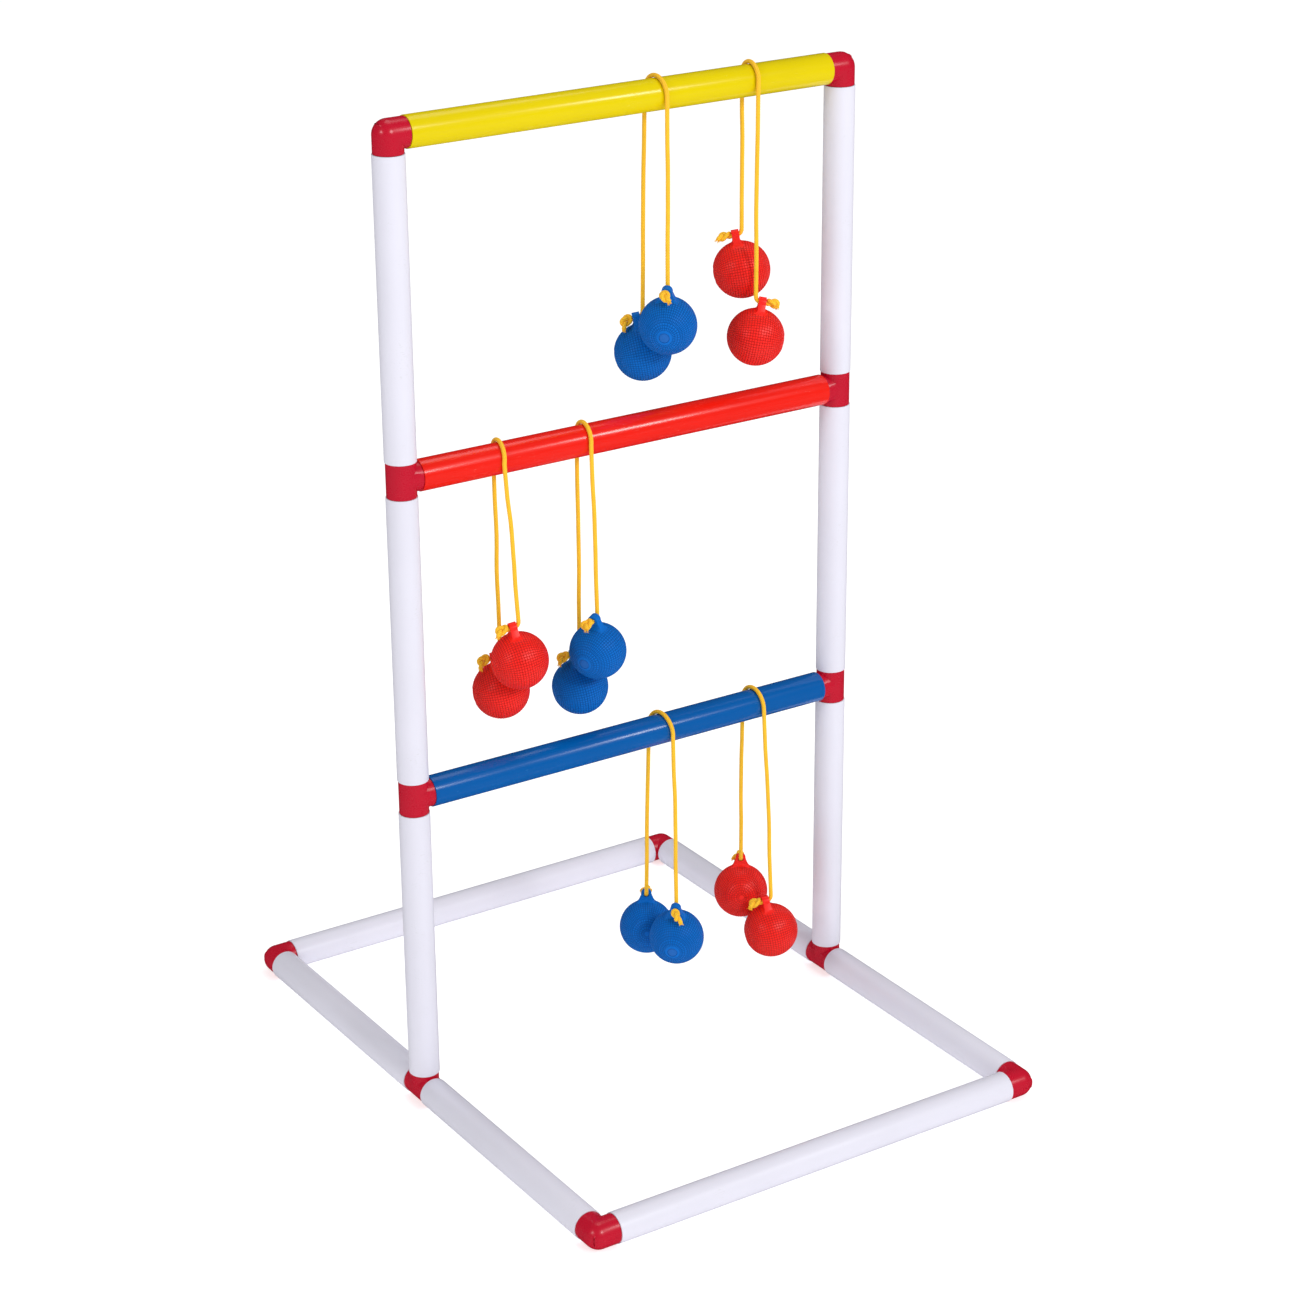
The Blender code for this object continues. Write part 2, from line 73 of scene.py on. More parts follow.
# Sizes that more than one piece needs, in metres
stand = {
    "postSpacing": 0.512,
    "baseHalfDepth": 0.335,
    "firstRung": 0.330,
    "rungSpacing": 0.333,
    "baseAxis": 0.0156055,  # the base tubes' axes above the ground
    "tubeRadius": 0.0158,
    "shoulder": 0.0175,  # from a connector's centre to the end of a tube
    "faceGap": 0.0003,
}
ball = {
    "radius": 0.02875,
    "segments": 66,  # one pebble each
    "rings": 34,
    "plugClear": 0.0085,  # left smooth round the plug
    "sprueClear": 0.0035,  # and round the far pole
    "pebbleSlope": 0.00038,
    "redPebble": 0.00040,
    "bluePebble": 0.00027,
    "wholeRows": 30,  # degrees from the pole; nearer, pebbles are two columns wide
    "wideRows": 15,  # and nearer still, four
    "underLug": (0.0062, 0.0112),  # left smooth under the lug's foot
    "seamWidth": 0.00022,
    "seamHeight": 0.00016,
    "plugRadius": 0.0056,
    "plugGrooveShade": 0.00045,
    "smoothAngle": 28,  # low, so that the pebbles keep their edges
}
lug = {
    "thickness": 0.0075,
    "holeHeight": 0.0075,  # the hole's axis above the ball's top
    "tipRadius": 0.0055,
    "holeRadius": 0.0027,
    "round": 0.0009,
    "sides": 32,
    "neck": 0.0012,  # how far below the hole the sides start to spread
    # rows down the lug: height over the ball's centre, half width, thickness against the tip's
    "rows": [(0.0312, 0.0078, 1.0), (0.0301, 0.0086, 1.10), (0.0294, 0.0095, 1.30),
             (0.0289, 0.0107, 1.62), (0.0285, 0.0121, 1.95)],
    "footDepth": 0.003,
    "smoothAngle": 50,
}
cord = {
    "radius": 0.0021,
    "bend": 0.0050,  # into the lug's hole
    "step": 0.0126,
    "wrapGap": 0.0004,
    "ballGap": 0.0008,
    "holeClearance": 0.0006,
    "wrapSteps": 14,
    "sides": 24,
    "ringStep": 0.00055,
    "strands": 6,  # each way round
    "strandPitch": 0.0027,
    "strandRound": 0.8,
    "strandDip": 0.45,  # a strand's height where it goes under, against its crown
    "relief": 0.00030,
    "pathStep": 18,  # rings from one point of the listed path to the next
    "smoothAngle": 75,
}
knot = {
    "cordRadius": 0.00178,  # pulled tight, the cord is thinner
    "fullness": 1.16,  # and its braid bulges into the gaps
    "halfLength": 1.15,  # of the lump, in cord widths
    "tilt": 30.0,  # degrees it hangs down from the lug
    "turnBack": 42,  # degrees from the way it is tied to the way it faces at roll 0
    "tail": 0.0030,
    "droop": 0.0014,
    "flare": 0.16,  # of the tail's end
    "flareFrom": 0.88,  # of the way along
    "yarns": 26,
    "yarnLength": 0.0042,
    "yarnRadius": 0.00034,
    "yarnSides": 5,
    "yarnRows": 4,
    "yarnSpread": 0.86,
    "yarnTaper": 0.55,
    "seed": 11,
}
# How the knot is pulled tight: easily at first, then hard
tying = {
    "links": 90,
    "apart": 7,  # links that may not touch
    "rounds": 860,
    "easyRounds": 380,
    "easy": {"pull": 0.9985, "passes": 3, "stiff": 0.10},
    "hard": {"pull": 0.9996, "passes": 8, "stiff": 0.03},
    "push": 0.3,
}
halfSpacing = stand["postSpacing"] / 2
wrapRadius = stand["tubeRadius"] + cord["wrapGap"] + cord["radius"]
lugHole = ball["radius"] + lug["holeHeight"]
lugSide = lug["thickness"] / 2 + cord["radius"] + cord["holeClearance"]  # lug to hanging cord
lugLean = math.atan(lugSide / lugHole)
rungNames = ["bottom", "middle", "top"]
rungFinishes = ["blueTube", "redTube", "yellowTube"]
slotOf = {
    "whiteTube": "white_tube", "yellowTube": "yellow_tube", "redTube": "red_tube",
    "blueTube": "blue_tube", "connectorPlastic": "connector", "redVinyl": "red_ball",
    "blueVinyl": "blue_ball", "braidedCord": "cord",
}

# Where each bola hangs: its middle along the rung, and for each leg its cord's and its ball's place
# along the rung from there, the ball's drop, the way its knot faces, and the bow of its cord.
bolas = [
    {"name": "top_blue_bola", "rung": 2, "finish": "blueVinyl", "place": 0.0370,
     "front": {"top": 0.0010, "ball": -0.0020, "drop": 0.2246, "knot": 229, "roll": 20,
               "bow": (0.0, 0.0006, 0.0005, 0.0)},
     "back": {"top": -0.0010, "ball": -0.0030, "drop": 0.2626, "knot": 152, "roll": -35,
              "bow": (0.0, -0.0005, -0.0004, 0.0)}},
    {"name": "top_red_bola", "rung": 2, "finish": "redVinyl", "place": 0.1473,
     "front": {"top": -0.0030, "ball": -0.0045, "drop": 0.2555, "knot": 327, "roll": -10,
               "bow": (0.0, -0.0005, -0.0008, 0.0)},
     "back": {"top": 0.0030, "ball": 0.0033, "drop": 0.1954, "knot": 150, "roll": 35,
              "bow": (0.0, 0.0006, 0.0003, 0.0)}},
    {"name": "middle_red_bola", "rung": 1, "finish": "redVinyl", "place": -0.1480,
     "front": {"top": -0.0045, "ball": 0.0071, "drop": 0.2078, "knot": 165, "roll": 10,
               "bow": (0.0, 0.0014, 0.0009, 0.0)},
     "back": {"top": 0.0045, "ball": 0.0063, "drop": 0.2527, "knot": 155, "roll": -20,
              "bow": (0.0, 0.0007, -0.0006, 0.0)}},
    {"name": "middle_blue_bola", "rung": 1, "finish": "blueVinyl", "place": -0.0505,
     "front": {"top": -0.0030, "ball": 0.0013, "drop": 0.2185, "knot": 208, "roll": 45,
               "bow": (0.0, 0.0008, 0.0006, 0.0)},
     "back": {"top": 0.0030, "ball": 0.0020, "drop": 0.2706, "knot": 162, "roll": 0,
              "bow": (0.0, 0.0005, 0.0008, 0.0)}},
    {"name": "bottom_blue_bola", "rung": 0, "finish": "blueVinyl", "place": 0.0380,
     "front": {"top": 0.0030, "ball": -0.0004, "drop": 0.2305, "knot": 227, "roll": -25,
               "bow": (0.0, 0.0010, 0.0007, 0.0)},
     "back": {"top": -0.0030, "ball": -0.0013, "drop": 0.2424, "knot": 57, "roll": 15,
              "bow": (0.0, -0.0004, -0.0006, 0.0)}},
    {"name": "bottom_red_bola", "rung": 0, "finish": "redVinyl", "place": 0.1550,
     "front": {"top": 0.0010, "ball": 0.0073, "drop": 0.2601, "knot": 160, "roll": 30,
               "bow": (0.0, 0.0010, 0.0012, 0.0)},
     "back": {"top": -0.0010, "ball": 0.0026, "drop": 0.2320, "knot": 57, "roll": -15,
              "bow": (0.0, -0.0007, -0.0008, 0.0)}},
]
front, back = -1, 1
sides = (("front", front), ("back", back))
hands = (("left", -1), ("right", 1))


def rungHeight(level):
    return stand["baseAxis"] + stand["firstRung"] + level * stand["rungSpacing"]


# Selecting and shaping, as by hand
tiny = 0.00001  # nearer to a plane than this counts as on it
mergeDistance = 0.000001
edgeSteps = 3  # in each rounded edge


def startEditing():
    bpy.ops.object.mode_set(mode="EDIT")


def stopEditing():
    bpy.ops.object.mode_set(mode="OBJECT")


def selectNothing():
    if bpy.context.mode != "OBJECT":
        stopEditing()
    bpy.ops.object.select_all(action="DESELECT")


def workOn(obj):
    selectNothing()
    obj.select_set(True)
    bpy.context.view_layer.objects.active = obj


def clearPicks(kind):
    startEditing()
    bpy.ops.mesh.select_mode(type=kind)
    bpy.ops.mesh.select_all(action="DESELECT")
    stopEditing()


def pickFaces(obj, wanted):
    clearPicks("FACE")
    for face in obj.data.polygons:
        face.select = bool(wanted(face.center, face.normal))
    startEditing()


def pickVerts(obj, wanted):
    clearPicks("VERT")
    for vert in obj.data.vertices:
        vert.select = bool(wanted(vert.co))
    startEditing()


def pickEdges(obj, wanted):
    clearPicks("EDGE")
    verts = obj.data.vertices
    for edge in obj.data.edges:
        edge.select = bool(wanted(verts[edge.vertices[0]].co, verts[edge.vertices[1]].co))
    startEditing()


def settle(obj):
    workOn(obj)
    bpy.ops.object.transform_apply(location=True, rotation=True, scale=True)


def applyAll(obj):
    workOn(obj)
    for modifier in list(obj.modifiers):
        bpy.ops.object.modifier_apply(modifier=modifier.name)


def cleanUp(obj, smoothAngle):
    workOn(obj)
    startEditing()
    bpy.ops.mesh.select_mode(type="VERT")
    bpy.ops.mesh.select_all(action="SELECT")
    bpy.ops.mesh.remove_doubles(threshold=mergeDistance)
    bpy.ops.mesh.normals_make_consistent(inside=False)
    stopEditing()
    bpy.ops.object.shade_smooth_by_angle(angle=math.radians(smoothAngle))


def bevelEdges(obj, width, angle):
    bevel = obj.modifiers.new("roundedEdges", "BEVEL")
    bevel.width = width
    bevel.segments = edgeSteps
    bevel.limit_method = "ANGLE"
    bevel.angle_limit = math.radians(angle)
    applyAll(obj)


def addCylinder(name, around, radius, depth, place=(0.0, 0.0, 0.0), turn=(0.0, 0.0, 0.0)):
    selectNothing()
    bpy.ops.mesh.primitive_cylinder_add(vertices=around, radius=radius, depth=depth,
                                        location=place, rotation=turn)
    made = bpy.context.object
    made.name = name
    settle(made)
    return made


def extrudeUp(height):
    bpy.ops.mesh.extrude_region_move(TRANSFORM_OT_translate={"value": (0, 0, height)})


def scaleAcross(share, height=0.0):
    bpy.ops.transform.resize(value=(share, share, 1.0), center_override=(0, 0, height))


def joinSolids(body, others, operation="UNION"):
    for other in others:
        boolean = body.modifiers.new(operation.title(), "BOOLEAN")
        boolean.operation = operation
        boolean.solver = "EXACT"
        boolean.object = other
        applyAll(body)
        bpy.data.objects.remove(other, do_unlink=True)


def placedCopy(model, name, placing):
    copy = bpy.data.objects.new(name, model.data.copy())
    scene.collection.objects.link(copy)
    copy.data.transform(placing)
    copy.data.name = name
    return copy


wearers = {finish: [] for finish in slotOf}


def dress(piece, finish, *nodes):
    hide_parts(*nodes)
    wearers[finish].append(piece)


# The cords: the same route as the CAD cords, with the braid raised on it
def pushOut(bola):
    near, far = bola["front"], bola["back"]
    apart = math.hypot(near["ball"] - far["ball"], near["drop"] - far["drop"])
    reach = 2 * ball["radius"] + cord["ballGap"]
    if apart >= reach:
        return 0.0
    return max(0.0, math.sqrt(reach**2 - apart**2) / 2 - wrapRadius)


def ballPlace(side, leg, out):
    return Vector((leg["ball"], side * (wrapRadius + out), -leg["drop"]))


def ballTurn(leg):
    return Euler((0.0, lugLean, math.radians(leg["knot"]))).to_matrix()


def bolaMiddle(bola):
    return Vector((bola["place"], 0.0, rungHeight(bola["rung"])))


def ballPlacing(bola, side, leg, out):
    place = bolaMiddle(bola) + ballPlace(side, leg, out)
    return Matrix.Translation(place) @ ballTurn(leg).to_4x4()


def cordCorner(side, leg, out):
    return ballPlace(side, leg, out) + ballTurn(leg) @ Vector((-lugSide, 0.0, lugHole))


def leavingAngle(side, leg, out):
    end = cordCorner(side, leg, out)
    outward = side * end.y
    return math.atan2(end.z, outward) + math.acos(wrapRadius / math.hypot(outward, end.z))


def onRung(side, along, angle):
    return Vector((along, side * wrapRadius * math.cos(angle), wrapRadius * math.sin(angle)))


def wrapHalf(bola, side, out):
    first = leavingAngle(front, bola["front"], out)
    last = leavingAngle(back, bola["back"], out)
    sweep = math.pi - first - last
    leaving = first if side == front else last
    points = []
    for i in range(cord["wrapSteps"] + 1):
        angle = math.pi / 2 + (leaving - math.pi / 2) * i / cord["wrapSteps"]
        fromFront = angle - first if side == front else math.pi - angle - first
        share = fromFront / sweep
        along = bola["front"]["top"] * (1 - share) + bola["back"]["top"] * share
        points.append(onRung(side, along, angle))
    return points


def hangingPart(side, leg, out):
    top = onRung(side, leg["top"], leavingAngle(side, leg, out))
    corner = cordCorner(side, leg, out)
    bottom = corner - (corner - top).normalized() * cord["bend"]
    count = math.ceil((bottom - top).length / cord["step"])
    bow = (0.0, *leg["bow"], 0.0)
    points = []
    for i in range(1, count + 1):
        share = i / count
        place = share * (len(bow) - 1)
        at = min(int(place), len(bow) - 2)
        blend = (1 - math.cos(math.pi * (place - at))) / 2
        sideways = bow[at] + (bow[at + 1] - bow[at]) * blend
        points.append(top.lerp(bottom, share) + Vector((sideways, 0.0, 0.0)))
    return points


def intoHole(side, leg, out):
    top = onRung(side, leg["top"], leavingAngle(side, leg, out))
    corner = cordCorner(side, leg, out)
    through = ballTurn(leg) @ Vector((1.0, 0.0, 0.0))
    start = corner - (corner - top).normalized() * cord["bend"]
    end = corner + through * cord["bend"]
    points = []
    for share in (0.25, 0.5, 0.75, 1.0):
        points.append(start.lerp(corner, share).lerp(corner.lerp(end, share), share))
    points.append(corner + through * (lugSide + lug["thickness"] / 2))
    return points


def alongRoute(points):
    return np.concatenate([[0.0], np.cumsum(np.linalg.norm(np.diff(points, axis=0), axis=1))])


def respaced(points, count):
    points = np.asarray(points, dtype=float)
    at = alongRoute(points)
    places = np.linspace(0.0, at[-1], count)
    return np.stack([np.interp(places, at, points[:, axis]) for axis in range(3)], axis=1)


def rounded(points, spacing, passes):
    count = max(8, round(alongRoute(np.asarray(points))[-1] / spacing) + 1)
    line = respaced(points, count)
    for _ in range(passes):
        line[1:-1] = line[1:-1] * 0.5 + (line[:-2] + line[2:]) * 0.25
    return line


def braidHeight(around, along):
    a = around * cord["strands"] + along / cord["strandPitch"]
    b = around * cord["strands"] - along / cord["strandPitch"]
    over = (np.floor(a) + np.floor(b)) % 2 == 0
    acrossA, acrossB = np.sin(np.pi * (a % 1.0)), np.sin(np.pi * (b % 1.0))
    crown, dip = cord["strandRound"], cord["strandDip"]
    ridgeA = acrossA**crown * (dip + (1.0 - dip) * acrossB)
    ridgeB = acrossB**crown * (dip + (1.0 - dip) * acrossA)
    return np.where(over, ridgeA, ridgeB)


def braidedTube(line, radius, hand=1.0, swell=None):
    tangents = np.gradient(line, axis=0)
    tangents /= np.linalg.norm(tangents, axis=1)[:, None]
    across = np.zeros_like(line)
    start = np.array([1.0, 0.0, 0.0])
    if abs(tangents[0][0]) > 0.9:
        start = np.array([0.0, 0.0, 1.0])
    for i, tangent in enumerate(tangents):
        start = start - tangent * start.dot(tangent)
        start /= np.linalg.norm(start)
        across[i] = start
    upward = np.cross(tangents, across) * hand
    count, around = len(line), cord["sides"]
    turn = np.arange(around) / around
    at = alongRoute(line)
    height = braidHeight(turn[None, :], at[:, None])
    relief = cord["relief"] * radius / cord["radius"]
    size = radius - relief * 0.45 + relief * height
    if swell is not None:
        size = size * swell[:, None]
    cosine, sine = np.cos(2 * np.pi * turn), np.sin(2 * np.pi * turn)
    verts = (line[:, None, :] + size[:, :, None] * (
        across[:, None, :] * cosine[None, :, None] + upward[:, None, :] * sine[None, :, None]))
    rings = np.arange(count * around).reshape(count, around)
    after = np.roll(rings, -1, axis=1)
    faces = np.stack([rings[:-1], after[:-1], after[1:], rings[1:]], axis=2).reshape(-1, 4)
    perimeter = 2 * np.pi * radius
    lengthwise = np.broadcast_to(at[:, None], (count, around))
    roundwise = np.broadcast_to(turn[None, :] * perimeter, (count, around))
    uv = np.stack([roundwise, lengthwise], axis=2).reshape(-1, 2)
    return {"verts": verts.reshape(-1, 3), "faces": faces, "height": height.reshape(-1), "uv": uv,
            "caps": [rings[0][::-1], rings[-1]], "perimeter": perimeter, "quads": len(faces)}


def yarnEnds(place, direction, radius, random):
    verts, faces, around, rows = [], [], knot["yarnSides"], knot["yarnRows"]
    direction = direction / np.linalg.norm(direction)
    helper = np.array([0.0, 0.0, 1.0]) if abs(direction[2]) < 0.8 else np.array([0.0, 1.0, 0.0])
    across = np.cross(direction, helper)
    across /= np.linalg.norm(across)
    upward = np.cross(direction, across)
    for _ in range(knot["yarns"]):
        turn = random.uniform(0, 2 * math.pi)
        out = radius * knot["yarnSpread"] * math.sqrt(random.uniform(0.02, 1))
        spread = across * math.cos(turn) + upward * math.sin(turn)
        length = knot["yarnLength"] * random.uniform(0.55, 1.0)
        lean = random.uniform(0.05, 0.55) * out / radius + random.uniform(0.0, 0.12)
        first = len(verts)
        for row in range(rows):
            share = row / (rows - 1)
            middle = (place + spread * out - direction * 0.001 + direction * (length * share)
                      + spread * (lean * length * share**1.6))
            size = knot["yarnRadius"] * (1.0 - knot["yarnTaper"] * share)
            for i in range(around):
                angle = 2 * math.pi * i / around
                verts.append(middle + size * (across * math.cos(angle) + upward * math.sin(angle)))
        for row in range(rows - 1):
            for i in range(around):
                j = (i + 1) % around
                low, high = first + row * around, first + (row + 1) * around
                faces.append((low + i, low + j, high + j, high + i))
        faces.append(tuple(first + i for i in reversed(range(around))))
        faces.append(tuple(first + (rows - 1) * around + i for i in range(around)))
    return verts, faces


def meshPiece(name, tube, extraVerts=(), extraFaces=()):
    mesh = bpy.data.meshes.new(name)
    verts = [tuple(v) for v in tube["verts"]] + [tuple(v) for v in extraVerts]
    offset = len(tube["verts"])
    faces = [tuple(int(i) for i in f) for f in tube["faces"]]
    faces += [tuple(int(i) for i in cap) for cap in tube["caps"]]
    faces += [tuple(offset + i for i in f) for f in extraFaces]
    mesh.from_pydata(verts, [], faces)
    layer = mesh.uv_layers.new(name="braidMap")
    uv = np.zeros((len(verts), 2))
    uv[:offset] = tube["uv"]
    loopVerts = np.zeros(len(mesh.loops), dtype=int)
    mesh.loops.foreach_get("vertex_index", loopVerts)
    loopUv = uv[loopVerts]
    quads = loopUv[: tube["quads"] * 4].reshape(-1, 4, 2)
    wraps = quads[:, :, 0].max(axis=1) - quads[:, :, 0].min(axis=1) > tube["perimeter"] / 2
    low = quads[:, :, 0] < tube["perimeter"] / 2
    quads[:, :, 0] += np.where(wraps[:, None] & low, tube["perimeter"], 0.0)
    layer.data.foreach_set("uv", loopUv.reshape(-1))
    # strandHeight also sets the painted shade in the braid's crevices
    strand = mesh.attributes.new("strandHeight", "FLOAT", "POINT")
    heights = np.full(len(verts), 0.75)  # the loose yarns are in the light
    heights[:offset] = tube["height"]
    strand.data.foreach_set("value", heights)
    obj = bpy.data.objects.new(name, mesh)
    scene.collection.objects.link(obj)
    workOn(obj)
    startEditing()
    bpy.ops.mesh.select_all(action="SELECT")
    bpy.ops.mesh.normals_make_consistent(inside=False)
    stopEditing()
    bpy.ops.object.shade_smooth_by_angle(angle=math.radians(cord["smoothAngle"]))
    return obj


def tightenedKnot(width):
    t = np.linspace(-2.03, 2.03, 600)
    loop = np.stack([t**3 - 3 * t, t**4 - 4 * t**2, (t**5 - 10 * t) * 0.34], axis=1) * width
    loop -= (loop[0] + loop[-1]) / 2
    ends = np.array([[-4.0 * width, 0.0, 0.0], [4.0 * width, 0.0, 0.0]])
    line = respaced(np.vstack([np.linspace(ends[0], loop[0], 20)[:-1], loop,
                               np.linspace(loop[-1], ends[1], 20)[1:]]), tying["links"])
    spacing = alongRoute(line)[-1] / (len(line) - 1)
    index = np.arange(len(line))
    a, b = np.nonzero((index[None, :] - index[:, None]) > tying["apart"])
    for step in range(tying["rounds"]):
        effort = tying["easy"] if step < tying["easyRounds"] else tying["hard"]
        spacing *= effort["pull"]
        for _ in range(effort["passes"]):
            for start in (0, 1):
                i = np.arange(start, len(line) - 1, 2)
                gap = line[i + 1] - line[i]
                move = gap * (1 - spacing / np.linalg.norm(gap, axis=1))[:, None] / 2
                line[i] += move
                line[i + 1] -= move
            line[1:-1] += ((line[:-2] + line[2:]) / 2 - line[1:-1]) * effort["stiff"]
            gap = line[b] - line[a]
            apart = (gap**2).sum(axis=1)
            hit = np.nonzero(apart < width**2)[0]
            push = gap[hit] * ((width / np.sqrt(apart[hit]) - 1) * tying["push"])[:, None]
            for axis in range(3):
                line[:, axis] += np.bincount(b[hit], push[:, axis], len(line))
                line[:, axis] -= np.bincount(a[hit], push[:, axis], len(line))
            line[0], line[-1] = ends
    return line


def knotRoute():
    width = 2 * knot["cordRadius"]
    line = tightenedKnot(width)
    first = int(np.nonzero(line[:, 0] > -knot["halfLength"] * width)[0][0])
    last = int(np.nonzero(line[:, 0] < knot["halfLength"] * width)[0][-1])
    core = line[first:last + 1]
    core = core - core[0]
    entry = lug["thickness"] / 2 + 0.0003 + 0.42 * width
    core[:, 0] += entry
    return core


print("tying the knot")
knotCore = knotRoute()
random = np.random.default_rng(knot["seed"])


def addKnot(name, leg, placing):
    roll = Matrix.Rotation(math.radians(leg["roll"] - knot["turnBack"]), 3, "X")
    tilt = Matrix.Rotation(math.radians(knot["tilt"]), 3, "Y")
    mouth = Vector((lug["thickness"] / 2, 0.0, 0.0))
    core = np.array([tuple(mouth + tilt @ (roll @ Vector(p) - mouth)) for p in knotCore])
    start = np.array([[mouth.x - 0.0030, 0.0, 0.0], [mouth.x - 0.0010, 0.0, 0.0]])
    away = core[-1] - core[-3]
    away /= np.linalg.norm(away)
    share = np.linspace(0.15, 1.0, 6)[:, None]
    droop = np.array([[0.0, 0.0, -knot["droop"]]]) * share**2
    tail = core[-1] + away * (knot["tail"] * share) + droop
    line = rounded(np.vstack([start, core, tail]), cord["ringStep"], 6)
    at = alongRoute(line) / alongRoute(line)[-1]
    toEnd = (at - knot["flareFrom"]) / (1.0 - knot["flareFrom"])
    swell = 1.0 + knot["flare"] * np.clip(toEnd, 0.0, 1.0)**2
    braid = braidedTube(line, knot["cordRadius"] * knot["fullness"], swell=swell)
    verts, faces = yarnEnds(line[-1], line[-1] - line[-4], knot["cordRadius"] * 1.15, random)
    piece = meshPiece(f"{name}_knot", braid, verts, faces)
    piece.data.transform(placing @ Matrix.Translation((0.0, 0.0, lugHole)))
    return piece


def addCords(bola):
    name, out, middle = bola["name"], pushOut(bola), bolaMiddle(bola)
    for sideName, side in sides:
        leg, body = bola[sideName], f"{name}_{sideName}"
        route = wrapHalf(bola, side, out) + hangingPart(side, leg, out) + intoHole(side, leg, out)
        route = np.array([tuple(point + middle) for point in route])
        line = rounded(route, cord["ringStep"], 4)
        piece = meshPiece(body + "_braid", braidedTube(line, cord["radius"], hand=-side))
        stopper = addKnot(body, leg, ballPlacing(bola, side, leg, out))
        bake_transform(piece)
        dress(piece, "braidedCord", body + "_cord", name + "_cord_over_rung")
        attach(stopper, body)
        dress(stopper, "braidedCord", body + "_cord")


for bola in bolas:
    addCords(bola)
print("cords and knots hung")


# The balls: soft vinyl, pebbled in rows that run round the line through the fill plug, with a
# moulding seam in the lug's plane. One is modelled in each colour and copied.
plugFace, shadedGrooveFace = 1, 2  # material slots; 0 is the vinyl itself, and the groove slot is painted darker as painted shade


def pebble(obj, height):
    def fromPole(place):
        return math.degrees(math.acos(min(1.0, abs(place.x) / place.length)))

    def crowded(a, b):
        middle = (a + b) / 2
        column = round(math.atan2(middle.z, middle.y) / (2 * math.pi) * ball["segments"])
        away = fromPole(middle)
        columns = 1 if away > ball["wholeRows"] else 2 if away > ball["wideRows"] else 4
        return abs(a.x - b.x) > tiny and column % columns != 0

    def isPebble(centre, normal):
        halfThick, halfWide = ball["underLug"]
        if centre.z > 0 and abs(centre.x) < halfThick and abs(centre.y) < halfWide:
            return False
        clear = ball["plugClear"] if centre.x > 0 else ball["sprueClear"]
        return math.hypot(centre.y, centre.z) > clear

    pickEdges(obj, crowded)
    bpy.ops.mesh.dissolve_edges(use_verts=False)
    pickFaces(obj, isPebble)
    bpy.ops.mesh.inset(thickness=ball["pebbleSlope"], depth=height, use_individual=True)
    stopEditing()
    for face in obj.data.polygons:
        if face.center.normalized().dot(face.normal) < 0.97:  # the pebbles' flanks, painted darker with the groove material as painted shade
            face.material_index = shadedGrooveFace


def raiseSeam(obj):
    pickEdges(obj, lambda a, b: abs(a.x) < tiny and abs(b.x) < tiny)
    bpy.ops.mesh.bevel(offset=ball["seamWidth"], segments=2, affect="EDGES")
    pickVerts(obj, lambda place: abs(place.x) < 3 * tiny)
    bpy.ops.transform.shrink_fatten(value=ball["seamHeight"])
    stopEditing()


def cutPlug(obj):
    plug = ball["plugRadius"]
    pickFaces(obj, lambda centre, normal: centre.x > 0 and math.hypot(centre.y, centre.z) < plug)
    bpy.ops.mesh.inset(thickness=0.00025, depth=-ball["plugGrooveShade"])
    bpy.ops.mesh.inset(thickness=0.00030, depth=0.0)
    bpy.ops.mesh.inset(thickness=0.00022, depth=ball["plugGrooveShade"] * 1.15)
    stopEditing()
    inside, outside = plug - 0.0005, plug + 0.0004
    # the ring round the plug takes the darker groove material: painted shade
    for face in obj.data.polygons:
        out = math.hypot(face.center.y, face.center.z)
        if face.center.x > 0 and out < plug * 1.25:
            face.material_index = plugFace if out < inside else shadedGrooveFace if out < outside else 0


def modelLug():
    tab = addCylinder("lug", lug["sides"], lug["tipRadius"], lug["thickness"],
                      (0.0, 0.0, lugHole), (0.0, math.pi / 2, 0.0))
    pickFaces(tab, lambda centre, normal: abs(normal.x) > 0.9)
    bpy.ops.mesh.inset(thickness=lug["tipRadius"] - lug["holeRadius"], use_individual=True)
    bpy.ops.mesh.bridge_edge_loops()
    rim = (lug["tipRadius"] + lug["holeRadius"]) / 2
    pickFaces(tab, lambda centre, normal: abs(normal.x) < 0.1 and centre.z < lugHole - lug["neck"]
              and math.hypot(centre.y, centre.z - lugHole) > rim)
    halfWidth, thickness = None, 1.0
    for height, width, thick in lug["rows"]:
        bpy.ops.mesh.extrude_region_move()
        stopEditing()
        picked = [v.co for v in tab.data.vertices if v.select]
        if halfWidth is None:
            halfWidth = max(abs(place.y) for place in picked)
        lift = sum(place.z for place in picked) / len(picked)
        startEditing()
        bpy.ops.transform.resize(value=(thick / thickness, width / halfWidth, 0.0),
                                 center_override=(0.0, 0.0, lift))
        bpy.ops.transform.translate(value=(0.0, 0.0, height - lift))
        halfWidth, thickness = width, thick
    extrudeUp(-lug["footDepth"])
    stopEditing()
    top = lug["rows"][0][0] + tiny
    for vert in tab.data.vertices:  # the foot follows the ball
        place = vert.co
        if place.z < top:
            place.z -= ball["radius"] - math.sqrt(ball["radius"]**2 - place.x**2 - place.y**2)
    bevelEdges(tab, lug["round"], 60)
    cleanUp(tab, lug["smoothAngle"])
    return tab


def modelBall(finish, height):
    selectNothing()
    bpy.ops.mesh.primitive_uv_sphere_add(
        segments=ball["segments"], ring_count=ball["rings"], radius=ball["radius"],
        rotation=(0.0, math.pi / 2, 0.0))
    shell = bpy.context.object
    settle(shell)
    pebble(shell, height)
    raiseSeam(shell)
    cutPlug(shell)
    joinSolids(shell, [modelLug()])
    cleanUp(shell, ball["smoothAngle"])
    shell.name = finish + "Model"
    return shell


